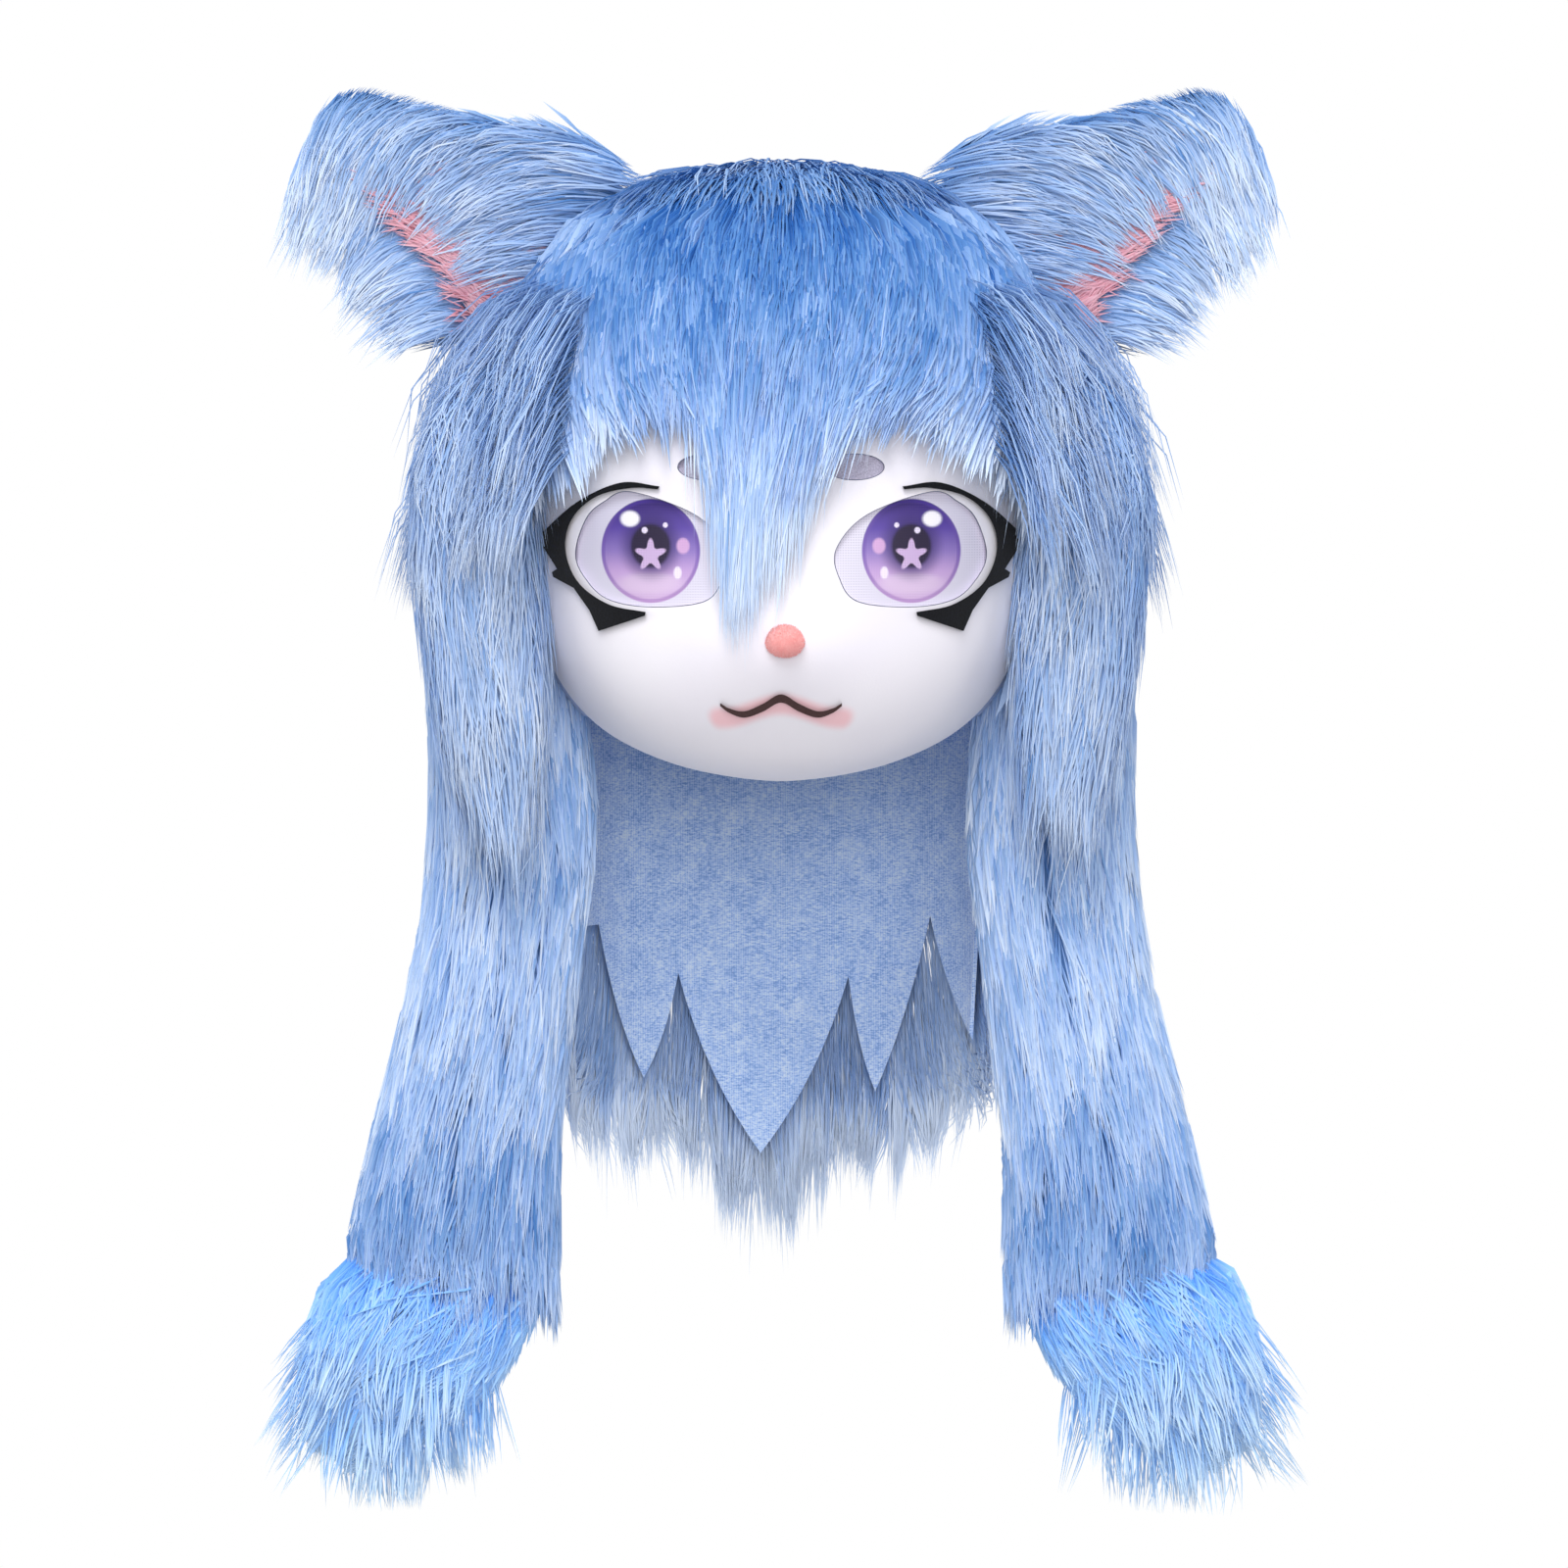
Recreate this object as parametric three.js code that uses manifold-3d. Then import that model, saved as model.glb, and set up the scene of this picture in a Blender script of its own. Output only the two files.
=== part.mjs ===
// A costume cat head with long fur: a moulded face mask, a padded hood, ears, locks and two hanging flaps.
// Millimetres, +Z up. The face looks towards -Y, and the wearer's left is +X.
// The origin is where the wearer's crown meets the inside of the hood.
import * as THREE from 'three';
import { mergeVertices } from 'three/addons/utils/BufferGeometryUtils.js';
import Module from 'manifold-3d';

const wasm = await Module();
wasm.setup();

// Head form
const headWidth = 270;
const headHeight = 309;
const crownRise = 14;
const faceReach = 142;
const backReach = 128;
const faceWall = 8;
const hoodWall = 10;
const headRoundness = 2.3;
const muzzleLift = 11;
const muzzleWidth = 40;
const muzzleHeight = 30;
const muzzleDrop = 240;
const pieceGap = 0.35;

// Neck opening
const neckWidth = 170;
const neckDepth = 152;
const neckBack = 20;
const hoodRimDrop = 276;

// Face details
const eyeSpacing = 130.5;
const eyeDrop = 190;
const eyeWide = 77;
const eyeHigh = 59;
const meshThickness = 1.2;
const meshInset = 3;
const feltThickness = 2;
const browSpacing = 74;
const browDrop = 149;
const browWide = 30;
const browHigh = 13.5;
const noseWide = 18.8;
const noseHigh = 16;
const noseDeep = 17;
const noseDrop = 236;
const noseSide = 2;
const mouthWide = 61;
const mouthDrop = 270;
const mouthLine = 3.4;

// Fur
const furDepth = 15;
const lockRise = 5;
const tierStep = 0.015;
const raggedEdge = 0.03;
const hairlineFront = -50;
const bangsDepth = 13;

// Locks of fur: the width and depth of each kind
const tuftLock = { wide: 22, deep: 10 };
const templeLock = { wide: 34, deep: 10 };
const bangLock = { wide: 34, deep: 9 };
const earLock = { wide: 26, deep: 11 };
const earTuftLock = { wide: 34, deep: 9 };
const pawLock = { wide: 30, deep: 20 };
const sideLock = { wide: 26, deep: 16 };
const napeLock = { wide: 42, deep: 14 };

// Ears
const earLength = 150;
const earWide = 132;
const earDeep = 56;
const earRise = 35;
const earRootOut = 112;
const earRootDrop = 50;
const earLiner = 2;

// Hair beside the cheeks
const sideHairLength = 248;
const sideHairWide = 60;
const sideHairDeep = 44;
const sideHairOut = 152;
const sideHairDrop = 80;

// Flaps and paws
const flapLength = 462;
const flapWide = 92;
const flapDeep = 66;
const flapOut = 148;
const flapBack = -15;
const flapDrop = 80;
const pawLength = 118;
const pawWide = 118;

// Nape curtain
const curtainTop = 249.3;
const curtainLength = 256;
const curtainWide = 240;
const curtainDeep = 92;
const curtainFront = 24;
const jerseyWall = 2;
const napeFurDepth = 19;
const furBelowHem = 50;

// Shares of the head form at each level. Drop is a share of the height below the crown.
const headSections = [
  { drop: 0.02, wide: 0.37, front: 0.32, back: 0.41 },
  { drop: 0.08, wide: 0.63, front: 0.55, back: 0.69 },
  { drop: 0.175, wide: 0.83, front: 0.74, back: 0.86 },
  { drop: 0.3, wide: 0.945, front: 0.86, back: 0.97 },
  { drop: 0.43, wide: 0.99, front: 0.93, back: 1.0 },
  { drop: 0.56, wide: 1.0, front: 0.975, back: 1.0 },
  { drop: 0.675, wide: 0.985, front: 0.995, back: 0.98 },
  { drop: 0.775, wide: 0.935, front: 1.0, back: 0.925 },
  { drop: 0.855, wide: 0.835, front: 0.965, back: 0.86 },
  { drop: 0.92, wide: 0.68, front: 0.89, back: 0.77 },
  { drop: 0.968, wide: 0.45, front: 0.77, back: 0.55 },
];
const shellSteps = { front: 16, back: 10 };
const furSteps = { front: 6, back: 14 };
const bangsSteps = { front: 10, back: 4 };

const skyBlue = '#7fb2ec';
const deepBlue = '#4f8fdc';
const furFinish = { roughness: 0.95, metalness: 0 };

// Turns a closed geometry into a solid, with its faces turned outwards.
function solidFrom(geometry) {
  geometry.deleteAttribute('normal');
  geometry.deleteAttribute('uv');
  const merged = mergeVertices(geometry);
  const points = merged.getAttribute('position').array;
  const corners = [];
  let volume = 0;
  const index = merged.index.array;
  for (let i = 0; i < index.length; i += 3) {
    const [a, b, c] = [index[i], index[i + 1], index[i + 2]];
    if (a === b || b === c || a === c) continue;
    corners.push([a, b, c]);
    const pa = new THREE.Vector3().fromArray(points, a * 3);
    const pb = new THREE.Vector3().fromArray(points, b * 3);
    const pc = new THREE.Vector3().fromArray(points, c * 3);
    volume += pa.dot(pb.cross(pc));
  }
  const turned = volume < 0 ? corners.map(([a, b, c]) => [a, c, b]) : corners;
  return new wasm.Manifold(new wasm.Mesh({
    numProp: 3,
    vertProperties: new Float32Array(points),
    triVerts: new Uint32Array(turned.flat()),
  }));
}

// A closed skin through rings with equal numbers of points, fanned shut at both ends.
function loft(rings, start, end) {
  const sides = rings[0].length;
  const points = [start, ...rings.flat(), end];
  const last = points.length - 1;
  const at = (ring, side) => 1 + ring * sides + (side % sides);
  const index = [];
  for (let side = 0; side < sides; side += 1) {
    index.push(0, at(0, side + 1), at(0, side));
    index.push(last, at(rings.length - 1, side), at(rings.length - 1, side + 1));
    for (let ring = 0; ring + 1 < rings.length; ring += 1) {
      index.push(at(ring, side), at(ring, side + 1), at(ring + 1, side));
      index.push(at(ring, side + 1), at(ring + 1, side + 1), at(ring + 1, side));
    }
  }
  const geometry = new THREE.BufferGeometry().setFromPoints(points);
  geometry.setIndex(index);
  return solidFrom(geometry);
}

function middleOf(ring) {
  const sum = ring.reduce((total, point) => total.add(point), new THREE.Vector3());
  return sum.divideScalar(ring.length);
}

function joined(solids) {
  return solids.reduce((whole, solid) => whole.add(solid));
}

function box(low, high) {
  const size = high.map((value, axis) => value - low[axis]);
  const geometry = new THREE.BoxGeometry(...size);
  geometry.translate(...high.map((value, axis) => (value + low[axis]) / 2));
  return solidFrom(geometry);
}

// An outline drawn in x and z, run from front to back between two distances in y.
function prism(shape, nearY, farY, curveSegments = 4) {
  const depth = farY - nearY;
  const geometry = new THREE.ExtrudeGeometry(shape, { depth, bevelEnabled: false, curveSegments });
  geometry.translate(0, 0, -farY);
  geometry.rotateX(Math.PI / 2);
  return solidFrom(geometry);
}

const reach = 600;
const levelZ = (drop) => crownRise - drop;
const signedPower = (value, power) => Math.sign(value) * Math.abs(value) ** power;

// The head form's half width, front and back at a share of the height, by the table.
function headSection(share) {
  const rows = headSections;
  const next = Math.max(1, rows.findIndex((row) => row.drop >= share));
  const upper = share > rows.at(-1).drop ? rows.at(-2) : rows[next - 1];
  const lower = share > rows.at(-1).drop ? rows.at(-1) : rows[next];
  const t = THREE.MathUtils.clamp((share - upper.drop) / (lower.drop - upper.drop), 0, 1);
  return {
    wide: THREE.MathUtils.lerp(upper.wide, lower.wide, t) * headWidth / 2,
    front: THREE.MathUtils.lerp(upper.front, lower.front, t) * faceReach,
    back: THREE.MathUtils.lerp(upper.back, lower.back, t) * backReach,
  };
}

function liftedZ(share, lift) {
  const middle = levelZ(headHeight / 2);
  return middle + (levelZ(share * headHeight) - middle) * (1 + 2 * lift / headHeight);
}

function muzzleAt(x, z) {
  const across = x / muzzleWidth;
  const down = (z - levelZ(muzzleDrop)) / muzzleHeight;
  return muzzleLift * Math.exp(-across * across - down * down);
}

// A point on the head form, lifted off it. The angle is 0 in front and grows towards +X.
function headPoint(angle, share, lift) {
  const section = headSection(share);
  const forward = Math.cos(angle);
  const deep = (forward > 0 ? section.front : section.back) + lift;
  const x = (section.wide + lift) * signedPower(Math.sin(angle), 2 / headRoundness);
  const y = -deep * signedPower(forward, 2 / headRoundness);
  const z = liftedZ(share, lift);
  const muzzle = forward > 0 ? muzzleAt(x, z) * forward : 0;
  return new THREE.Vector3(x, y - muzzle, z);
}

// A point on the front of the head form, given by its place as seen from the front.
function facePoint(x, drop, lift) {
  const section = headSection(drop / headHeight);
  const wide = section.wide + lift;
  const aside = Math.min(Math.abs(x) / wide, 1);
  const y = -(section.front + lift) * (1 - aside ** headRoundness) ** (1 / headRoundness);
  return new THREE.Vector3(x, y - muzzleAt(x, levelZ(drop)), levelZ(drop));
}

function anglesAround(steps) {
  const angles = [];
  for (let step = 0; step < steps.front; step += 1) {
    angles.push(-Math.PI / 2 + Math.PI * step / steps.front);
  }
  for (let step = 0; step < steps.back; step += 1) {
    angles.push(Math.PI / 2 + Math.PI * step / steps.back);
  }
  return angles;
}

function headForm(lift, steps = shellSteps) {
  const angles = anglesAround(steps);
  const rings = headSections.map((row) => angles.map((angle) => headPoint(angle, row.drop, lift)));
  const top = new THREE.Vector3(0, 0, liftedZ(0, lift));
  const chinY = -0.3 * faceReach;
  return loft(rings, top, new THREE.Vector3(0, chinY, liftedZ(1, lift)));
}

const headSkin = headForm(0);
const headGrown = headForm(pieceGap);

function headLayer(low, high) {
  return headForm(high).subtract(headForm(low));
}

function neckHole() {
  const geometry = new THREE.CylinderGeometry(neckWidth / 2, neckWidth / 2, headHeight / 3, 18);
  geometry.rotateX(Math.PI / 2);
  geometry.scale(1, neckDepth / neckWidth, 1);
  geometry.translate(0, neckBack, levelZ(headHeight));
  return solidFrom(geometry);
}

// Everything in front of the slanting joint between mask and hood, moved back by a shift.
function maskSide(shift) {
  const topY = -0.7 * faceReach + shift;
  const chinY = -0.28 * faceReach + shift;
  const lean = (chinY - topY) / headHeight;
  const above = new THREE.Vector2(topY - lean * headHeight, levelZ(-headHeight));
  const below = new THREE.Vector2(topY + lean * 2 * headHeight, levelZ(2 * headHeight));
  const side = new THREE.Shape([
    above, below, new THREE.Vector2(-reach, below.y), new THREE.Vector2(-reach, above.y),
  ]);
  const geometry = new THREE.ExtrudeGeometry(side, { depth: 2 * reach, bevelEnabled: false });
  geometry.translate(0, 0, -reach);
  geometry.applyMatrix4(new THREE.Matrix4().set(0, 0, 1, 0, 1, 0, 0, 0, 0, 1, 0, 0, 0, 0, 0, 1));
  return solidFrom(geometry);
}

// Outlines on the face, by shares of the eye's width and height, out from its middle.
const eyeOutline = [
  { out: 0.13, up: 0.485 }, { out: -0.29, up: 0.29 }, { out: -0.49, up: 0.0 },
  { out: -0.47, up: -0.25 }, { out: -0.35, up: -0.45 }, { out: 0.0, up: -0.5 },
  { out: 0.28, up: -0.44 }, { out: 0.43, up: -0.27 }, { out: 0.5, up: -0.05 },
  { out: 0.43, up: 0.25 }, { out: 0.31, up: 0.4 },
];
const lashTop = [
  { out: -0.055, up: 0.53 }, { out: 0.2, up: 0.56 }, { out: 0.49, up: 0.39 }, { out: 0.745, up: 0.1 },
];
const lashSide = [
  { out: 0.74, up: 0.06 }, { out: 0.62, up: -0.18 }, { out: 0.655, up: -0.21 },
  { out: 0.645, up: -0.25 }, { out: 0.51, up: -0.34 },
];
const lashTail = [{ out: 0.405, up: -0.53 }, { out: 0.345, up: -0.705 }];
const lashFoot = [{ out: 0.04, up: -0.57 }, { out: 0.035, up: -0.54 }];
const lashInner = [
  { out: 0.28, up: -0.475 }, { out: 0.48, up: -0.29 }, { out: 0.565, up: -0.01 },
  { out: 0.52, up: 0.25 }, { out: 0.36, up: 0.44 }, { out: 0.13, up: 0.515 }, { out: -0.045, up: 0.505 },
];

function eyePoint(side, row, shrink = 0) {
  const out = row.out * (eyeWide - 2 * shrink);
  const up = row.up * (eyeHigh - 2 * shrink);
  return new THREE.Vector2(side * (eyeSpacing / 2 + out), levelZ(eyeDrop) + up);
}

function eyeShape(side, shrink) {
  const points = eyeOutline.map((row) => eyePoint(side, row, shrink));
  const curve = new THREE.SplineCurve([...points, points[0]]);
  return new THREE.Shape(curve.getPoints(12).slice(0, -1));
}

function lashShape(side) {
  const place = (row) => eyePoint(side, row);
  const top = new THREE.SplineCurve(lashTop.map(place)).getPoints(7);
  const inner = new THREE.SplineCurve([...lashFoot.slice(-1), ...lashInner].map(place)).getPoints(9);
  return new THREE.Shape([
    ...top, ...lashSide.map(place), ...lashTail.map(place), place(lashFoot[0]), ...inner,
  ]);
}

function browShape(side, shrink) {
  const shape = new THREE.Shape();
  const middle = side * browSpacing / 2;
  shape.absellipse(middle, levelZ(browDrop), browWide / 2 - shrink, browHigh / 2 - shrink, 0, 2 * Math.PI);
  return shape;
}

// The mouth line's middle, by shares of half its width and of its line's width.
const mouthPath = [
  { out: -1, up: 0.55 }, { out: -0.85, up: -0.35 }, { out: -0.6, up: -0.9 }, { out: -0.3, up: 0.1 },
  { out: 0, up: 1.5 }, { out: 0.3, up: 0.1 }, { out: 0.6, up: -0.9 }, { out: 0.85, up: -0.35 },
  { out: 1, up: 0.55 },
];

function mouthShape() {
  const path = mouthPath.map((row) => (
    new THREE.Vector2(row.out * mouthWide / 2, levelZ(mouthDrop) + row.up * mouthLine)
  ));
  const middle = new THREE.SplineCurve(path).getPoints(12);
  const half = (x) => mouthLine * (0.62 - 0.4 * (2 * Math.abs(x) / mouthWide) ** 2);
  const upper = middle.map((point) => new THREE.Vector2(point.x, point.y + half(point.x)));
  const lower = middle.map((point) => new THREE.Vector2(point.x, point.y - half(point.x)));
  return new THREE.Shape([...upper, ...lower.reverse()]);
}

const trimNear = -2 * faceReach;
const trimFar = -0.15 * faceReach;

function faceShell() {
  const shell = headSkin.subtract(headForm(-faceWall)).subtract(neckHole());
  const cuts = [-1, 1].flatMap((side) => [
    prism(eyeShape(side, 0), trimNear, trimFar),
    prism(browShape(side, 0), trimNear, trimFar, 5),
  ]);
  return shell.intersect(maskSide(-pieceGap / 2)).subtract(joined(cuts));
}

function hoodShell() {
  const shell = headSkin.subtract(headForm(-hoodWall)).subtract(neckHole());
  const belowRim = box([-reach, -reach, -reach], [reach, reach, levelZ(hoodRimDrop)]);
  return shell.subtract(maskSide(pieceGap / 2)).subtract(belowRim);
}

// A trim piece cut from a layer over the face.
function faceTrim(shape, low, high, curveSegments) {
  return headLayer(low, high).intersect(prism(shape, trimNear, trimFar, curveSegments));
}

function nose() {
  const geometry = new THREE.SphereGeometry(1, 10, 6);
  geometry.scale(noseWide / 2, noseDeep / 2, noseHigh / 2);
  const seat = facePoint(noseSide, noseDrop, 0);
  geometry.translate(seat.x, seat.y, seat.z);
  return solidFrom(geometry).subtract(headGrown);
}

// A flat tapering lock of fur along a bent line, its flat side turned towards a direction.
function lock(points, size, facing, grow = 0) {
  const curve = new THREE.QuadraticBezierCurve3(...points);
  const rings = [{ t: 0, share: 0.85 }, { t: 0.4, share: 1 }, { t: 0.75, share: 0.6 }].map(({ t, share }) => {
    const middle = curve.getPoint(t);
    const along = curve.getTangent(t);
    const across = along.clone().cross(facing).normalize();
    const out = across.clone().cross(along).normalize();
    const w = share * size.wide / 2 + grow;
    const h = share * size.deep / 2 + 1.5 * grow;
    return [
      middle.clone().addScaledVector(across, w), middle.clone().addScaledVector(out, h),
      middle.clone().addScaledVector(across, -w), middle.clone().addScaledVector(out, -h),
    ];
  });
  const start = curve.getPoint(0).addScaledVector(curve.getTangent(0), -grow);
  const taper = curve.getPoint(1).sub(curve.getPoint(0.75)).normalize();
  const tip = curve.getPoint(1).addScaledVector(taper, 4 * grow);
  return loft(rings, start, tip);
}

// Fur lies in tiers. Each tier ends in a ragged edge of lock tips and steps in to the next.
function tierRows(tiers, plain) {
  const edges = tiers.flatMap((share) => [
    { share, rise: 1, ragged: 1 }, { share: share + tierStep, rise: -0.6, ragged: 1 },
  ]);
  const between = plain.map((share) => ({ share, rise: 0, ragged: 0 }));
  return [...edges, ...between].sort((a, b) => a.share - b.share);
}

const zigzag = (at) => (at % 2 ? 1 : -1);
const crownTiers = tierRows([0.2, 0.4, 0.6], [0.02, 0.09, 0.3, 0.5, 0.7, 0.86]);
const tuftCount = 4;
const templeLocks = [0.26, 0.4];

// Fur that covers the hood: a thick layer in tiers, with short tufts along the crown.
function crownFur() {
  const rings = crownTiers.map((row) => anglesAround(furSteps).map((angle, at) => (
    headPoint(angle, row.share + row.ragged * zigzag(at) * raggedEdge, furDepth + row.rise * lockRise)
  )));
  const top = new THREE.Vector3(0, 0, liftedZ(0, furDepth));
  const locks = Array.from({ length: tuftCount }, (_, at) => {
    const x = headWidth * (at / (tuftCount - 1) - 0.5) * 0.5;
    const root = new THREE.Vector3(x, 0, levelZ(-furDepth / 3));
    const tip = root.clone().add(new THREE.Vector3(x * 0.3, hairlineFront / 4, furDepth * 1.2));
    const bend = root.clone().lerp(tip, 0.5).add(new THREE.Vector3(0, 8, 3));
    return lock([root, bend, tip], tuftLock, new THREE.Vector3(0, -1, 0.4));
  });
  [-1, 1].forEach((side) => templeLocks.forEach((from) => {
    const angle = side * 0.52 * Math.PI;
    const points = [
      headPoint(angle, from, furDepth / 2),
      headPoint(angle, from + 0.1, furDepth * 1.6),
      headPoint(angle, from + 0.24, furDepth * 2.4),
    ];
    locks.push(lock(points, templeLock, new THREE.Vector3(side, 0, 0.4)));
  }));
  const covered = joined([loft(rings, top, middleOf(rings.at(-1))), ...locks]);
  const inFront = box([-reach, -reach, -reach], [reach, hairlineFront + pieceGap, reach]);
  const belowNape = box([-reach, -reach, -reach], [reach, reach, levelZ(curtainTop) + pieceGap]);
  return covered.subtract(inFront).subtract(belowNape);
}

// Sections of an ear along its length. Inner is towards the crown, and the cup opens forwards.
const earSections = [
  { along: -0.2, inner: 0.47, outer: 0.38, deep: 0.5 },
  { along: 0.05, inner: 0.5, outer: 0.42, deep: 0.5 },
  { along: 0.3, inner: 0.4, outer: 0.29, deep: 0.46 },
  { along: 0.55, inner: 0.31, outer: 0.19, deep: 0.38 },
  { along: 0.78, inner: 0.22, outer: 0.15, deep: 0.27 },
  { along: 0.93, inner: 0.13, outer: 0.12, deep: 0.17 },
];
const earPoints = 7;

function earFrame(side) {
  const lean = THREE.MathUtils.degToRad(earRise);
  return {
    root: new THREE.Vector3(side * earRootOut, 0, levelZ(earRootDrop)),
    axis: new THREE.Vector3(side * Math.cos(lean), -0.04, Math.sin(lean)).normalize(),
    up: new THREE.Vector3(-side * Math.sin(lean), 0, Math.cos(lean)),
  };
}

// A point of the ear at a share of its length, across it from -1 to 1, and off its cup's floor.
function earPoint(side, section, across, front, grow) {
  const { root, axis, up } = earFrame(side);
  const reachUp = (across > 0 ? section.inner : section.outer) * earWide + 2 * grow;
  const bulge = Math.sqrt(Math.max(0, 1 - across * across));
  const floor = 0.2 * earDeep * section.deep * bulge;
  const back = section.deep * earDeep * bulge + (bulge > 0.1 ? grow : -grow);
  const y = front === null ? back : floor - front;
  return root.clone()
    .addScaledVector(axis, section.along * earLength)
    .addScaledVector(up, across * reachUp)
    .add(new THREE.Vector3(0, y, 0));
}

function earRing(side, section, grow) {
  const steps = Array.from({ length: earPoints }, (_, at) => -Math.cos(Math.PI * at / (earPoints - 1)));
  const back = steps.map((across) => earPoint(side, section, across, null, grow));
  const front = steps.slice(1, -1).reverse().map((across) => earPoint(side, section, across, grow, grow));
  return [...back, ...front];
}

// Locks on the ear: long ones hanging from its outer edge, and a tuft swept across the cup.
const earFringe = [
  { along: 0.97, across: -0.1, out: 0.14, fall: 0.3 },
  { along: 0.94, across: -0.5, out: 0.1, fall: 0.44 },
  { along: 0.8, across: -0.9, out: 0.07, fall: 0.5 },
  { along: 0.62, across: -0.9, out: 0.04, fall: 0.48 },
  { along: 0.45, across: -0.95, out: 0.04, fall: 0.44 },
  { along: 0.28, across: -0.95, out: 0.07, fall: 0.36 },
];
const earTuft = [
  { from: 0.08, up: 0.8, along: 0.6, lower: 0.1 }, { from: 0.22, up: 0.82, along: 0.86, lower: 0.2 },
];

function sectionAlong(share) {
  const next = Math.max(1, earSections.findIndex((row) => row.along >= share));
  const at = share > earSections.at(-1).along ? earSections.length - 1 : next;
  const [low, high] = [earSections[at - 1], earSections[at]];
  const t = (share - low.along) / (high.along - low.along);
  const mix = (key) => Math.max(0.08, THREE.MathUtils.lerp(low[key], high[key], t));
  return { along: share, inner: mix('inner'), outer: mix('outer'), deep: mix('deep') };
}

function ear(side, grow = 0) {
  const rings = earSections.map((section) => earRing(side, section, grow));
  rings[0].forEach((point) => point.addScaledVector(earFrame(side).axis, -3 * grow));
  const { root, axis } = earFrame(side);
  const tip = root.clone().addScaledVector(axis, earLength + grow);
  const locks = earFringe.map((row) => {
    const start = earPoint(side, sectionAlong(row.along), row.across * 0.7, null, -earDeep * 0.06);
    const end = start.clone().add(new THREE.Vector3(side * row.out * earLength, -4, -row.fall * earLength));
    const bend = start.clone().lerp(end, 0.45).add(new THREE.Vector3(side * 0.07 * earLength, 0, 0));
    return lock([start, bend, end], earLock, new THREE.Vector3(0, -1, 0), grow);
  });
  earTuft.forEach((row) => {
    const start = earPoint(side, sectionAlong(row.from), row.up, 0, 0).add(new THREE.Vector3(0, 5, 0));
    const end = earPoint(side, sectionAlong(row.along), -row.lower, 9, 0);
    const bend = start.clone().lerp(end, 0.5).add(new THREE.Vector3(0, -16, 6));
    locks.push(lock([start, bend, end], earTuftLock, new THREE.Vector3(0, -1, 0), grow));
  });
  return joined([loft(rings, middleOf(rings[0]), tip), ...locks]);
}

// The pink lining that lies on the floor of the ear's cup.
function innerEar(side) {
  const rows = [0.04, 0.3, 0.68].map(sectionAlong);
  const steps = [-0.74, -0.3, 0.2, 0.5];
  const rings = rows.map((section) => [
    ...steps.map((across) => earPoint(side, section, across, 2 * pieceGap, 0)),
    ...steps.slice().reverse().map((across) => earPoint(side, section, across, 2 * pieceGap + earLiner, 0)),
  ]);
  return loft(rings, middleOf(rings[0]), middleOf(rings.at(-1)));
}

// A soft limb through sections, each leaning by an angle, wider than it is deep.
const limbSides = 12;

function limbRing(middle, wide, deep, lean, side) {
  return Array.from({ length: limbSides }, (_, at) => {
    const angle = 2 * Math.PI * at / limbSides;
    const across = wide * signedPower(Math.cos(angle), 0.9);
    return new THREE.Vector3(
      middle.x + side * across * Math.cos(lean),
      middle.y + deep * signedPower(Math.sin(angle), 0.9),
      middle.z + across * Math.sin(lean),
    );
  });
}

const flapSections = [
  { drop: 0.0, out: 0.85, wide: 0.25, deep: 0.4 },
  { drop: 0.06, out: 0.94, wide: 0.52, deep: 0.7 },
  { drop: 0.14, out: 1.0, wide: 0.76, deep: 0.88 },
  { drop: 0.34, out: 0.965, wide: 0.84, deep: 0.96 },
  { drop: 0.55, out: 0.925, wide: 0.92, deep: 1.0 },
  { drop: 0.73, out: 0.995, wide: 0.94, deep: 1.0 },
  { drop: 0.88, out: 1.08, wide: 1.06, deep: 0.98 },
  { drop: 1.0, out: 1.13, wide: 1.2, deep: 0.92 },
];
const pawSections = [
  { down: 0.0, out: 0.0, wide: 0.98, deep: 0.94, lean: 0 },
  { down: 0.26, out: 0.1, wide: 1.0, deep: 0.92, lean: 14 },
  { down: 0.52, out: 0.25, wide: 0.86, deep: 0.82, lean: 26 },
  { down: 0.78, out: 0.42, wide: 0.52, deep: 0.62, lean: 32 },
];

function flapPoint(side, share) {
  const next = Math.max(1, flapSections.findIndex((row) => row.drop >= share));
  const [low, high] = [flapSections[next - 1], flapSections[next]];
  const t = (share - low.drop) / (high.drop - low.drop);
  const mix = (key) => THREE.MathUtils.lerp(low[key], high[key], t);
  return {
    middle: new THREE.Vector3(side * mix('out') * flapOut, flapBack, levelZ(flapDrop + share * flapLength)),
    wide: mix('wide') * flapWide / 2,
    deep: mix('deep') * flapDeep / 2,
  };
}

const flapTiers = tierRows([0.3, 0.47, 0.64, 0.8, 0.93], [0, 0.06, 0.14, 0.385, 0.555, 0.72, 0.865, 1]);

function flap(side) {
  const rings = flapTiers.map((row) => {
    const place = flapPoint(side, row.share);
    const rise = row.rise * lockRise;
    const ring = limbRing(place.middle, place.wide + rise, place.deep + rise / 2, 0, side);
    ring.forEach((point, at) => point.setZ(point.z - row.ragged * zigzag(at) * raggedEdge * flapLength));
    return ring;
  });
  return loft(rings, middleOf(rings[0]), middleOf(rings.at(-1)));
}

// The plain form of a flap, grown to leave room round its tiers.
function flapRoom(side) {
  const grow = lockRise + pieceGap;
  const rings = flapSections.slice(0, 5).map((row) => {
    const place = flapPoint(side, row.drop);
    return limbRing(place.middle, place.wide + grow, place.deep + grow, 0, side);
  });
  const top = middleOf(rings[0]).add(new THREE.Vector3(0, 0, pieceGap));
  rings[0].forEach((point) => point.setZ(point.z + pieceGap));
  return loft(rings, top, middleOf(rings.at(-1)));
}

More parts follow.
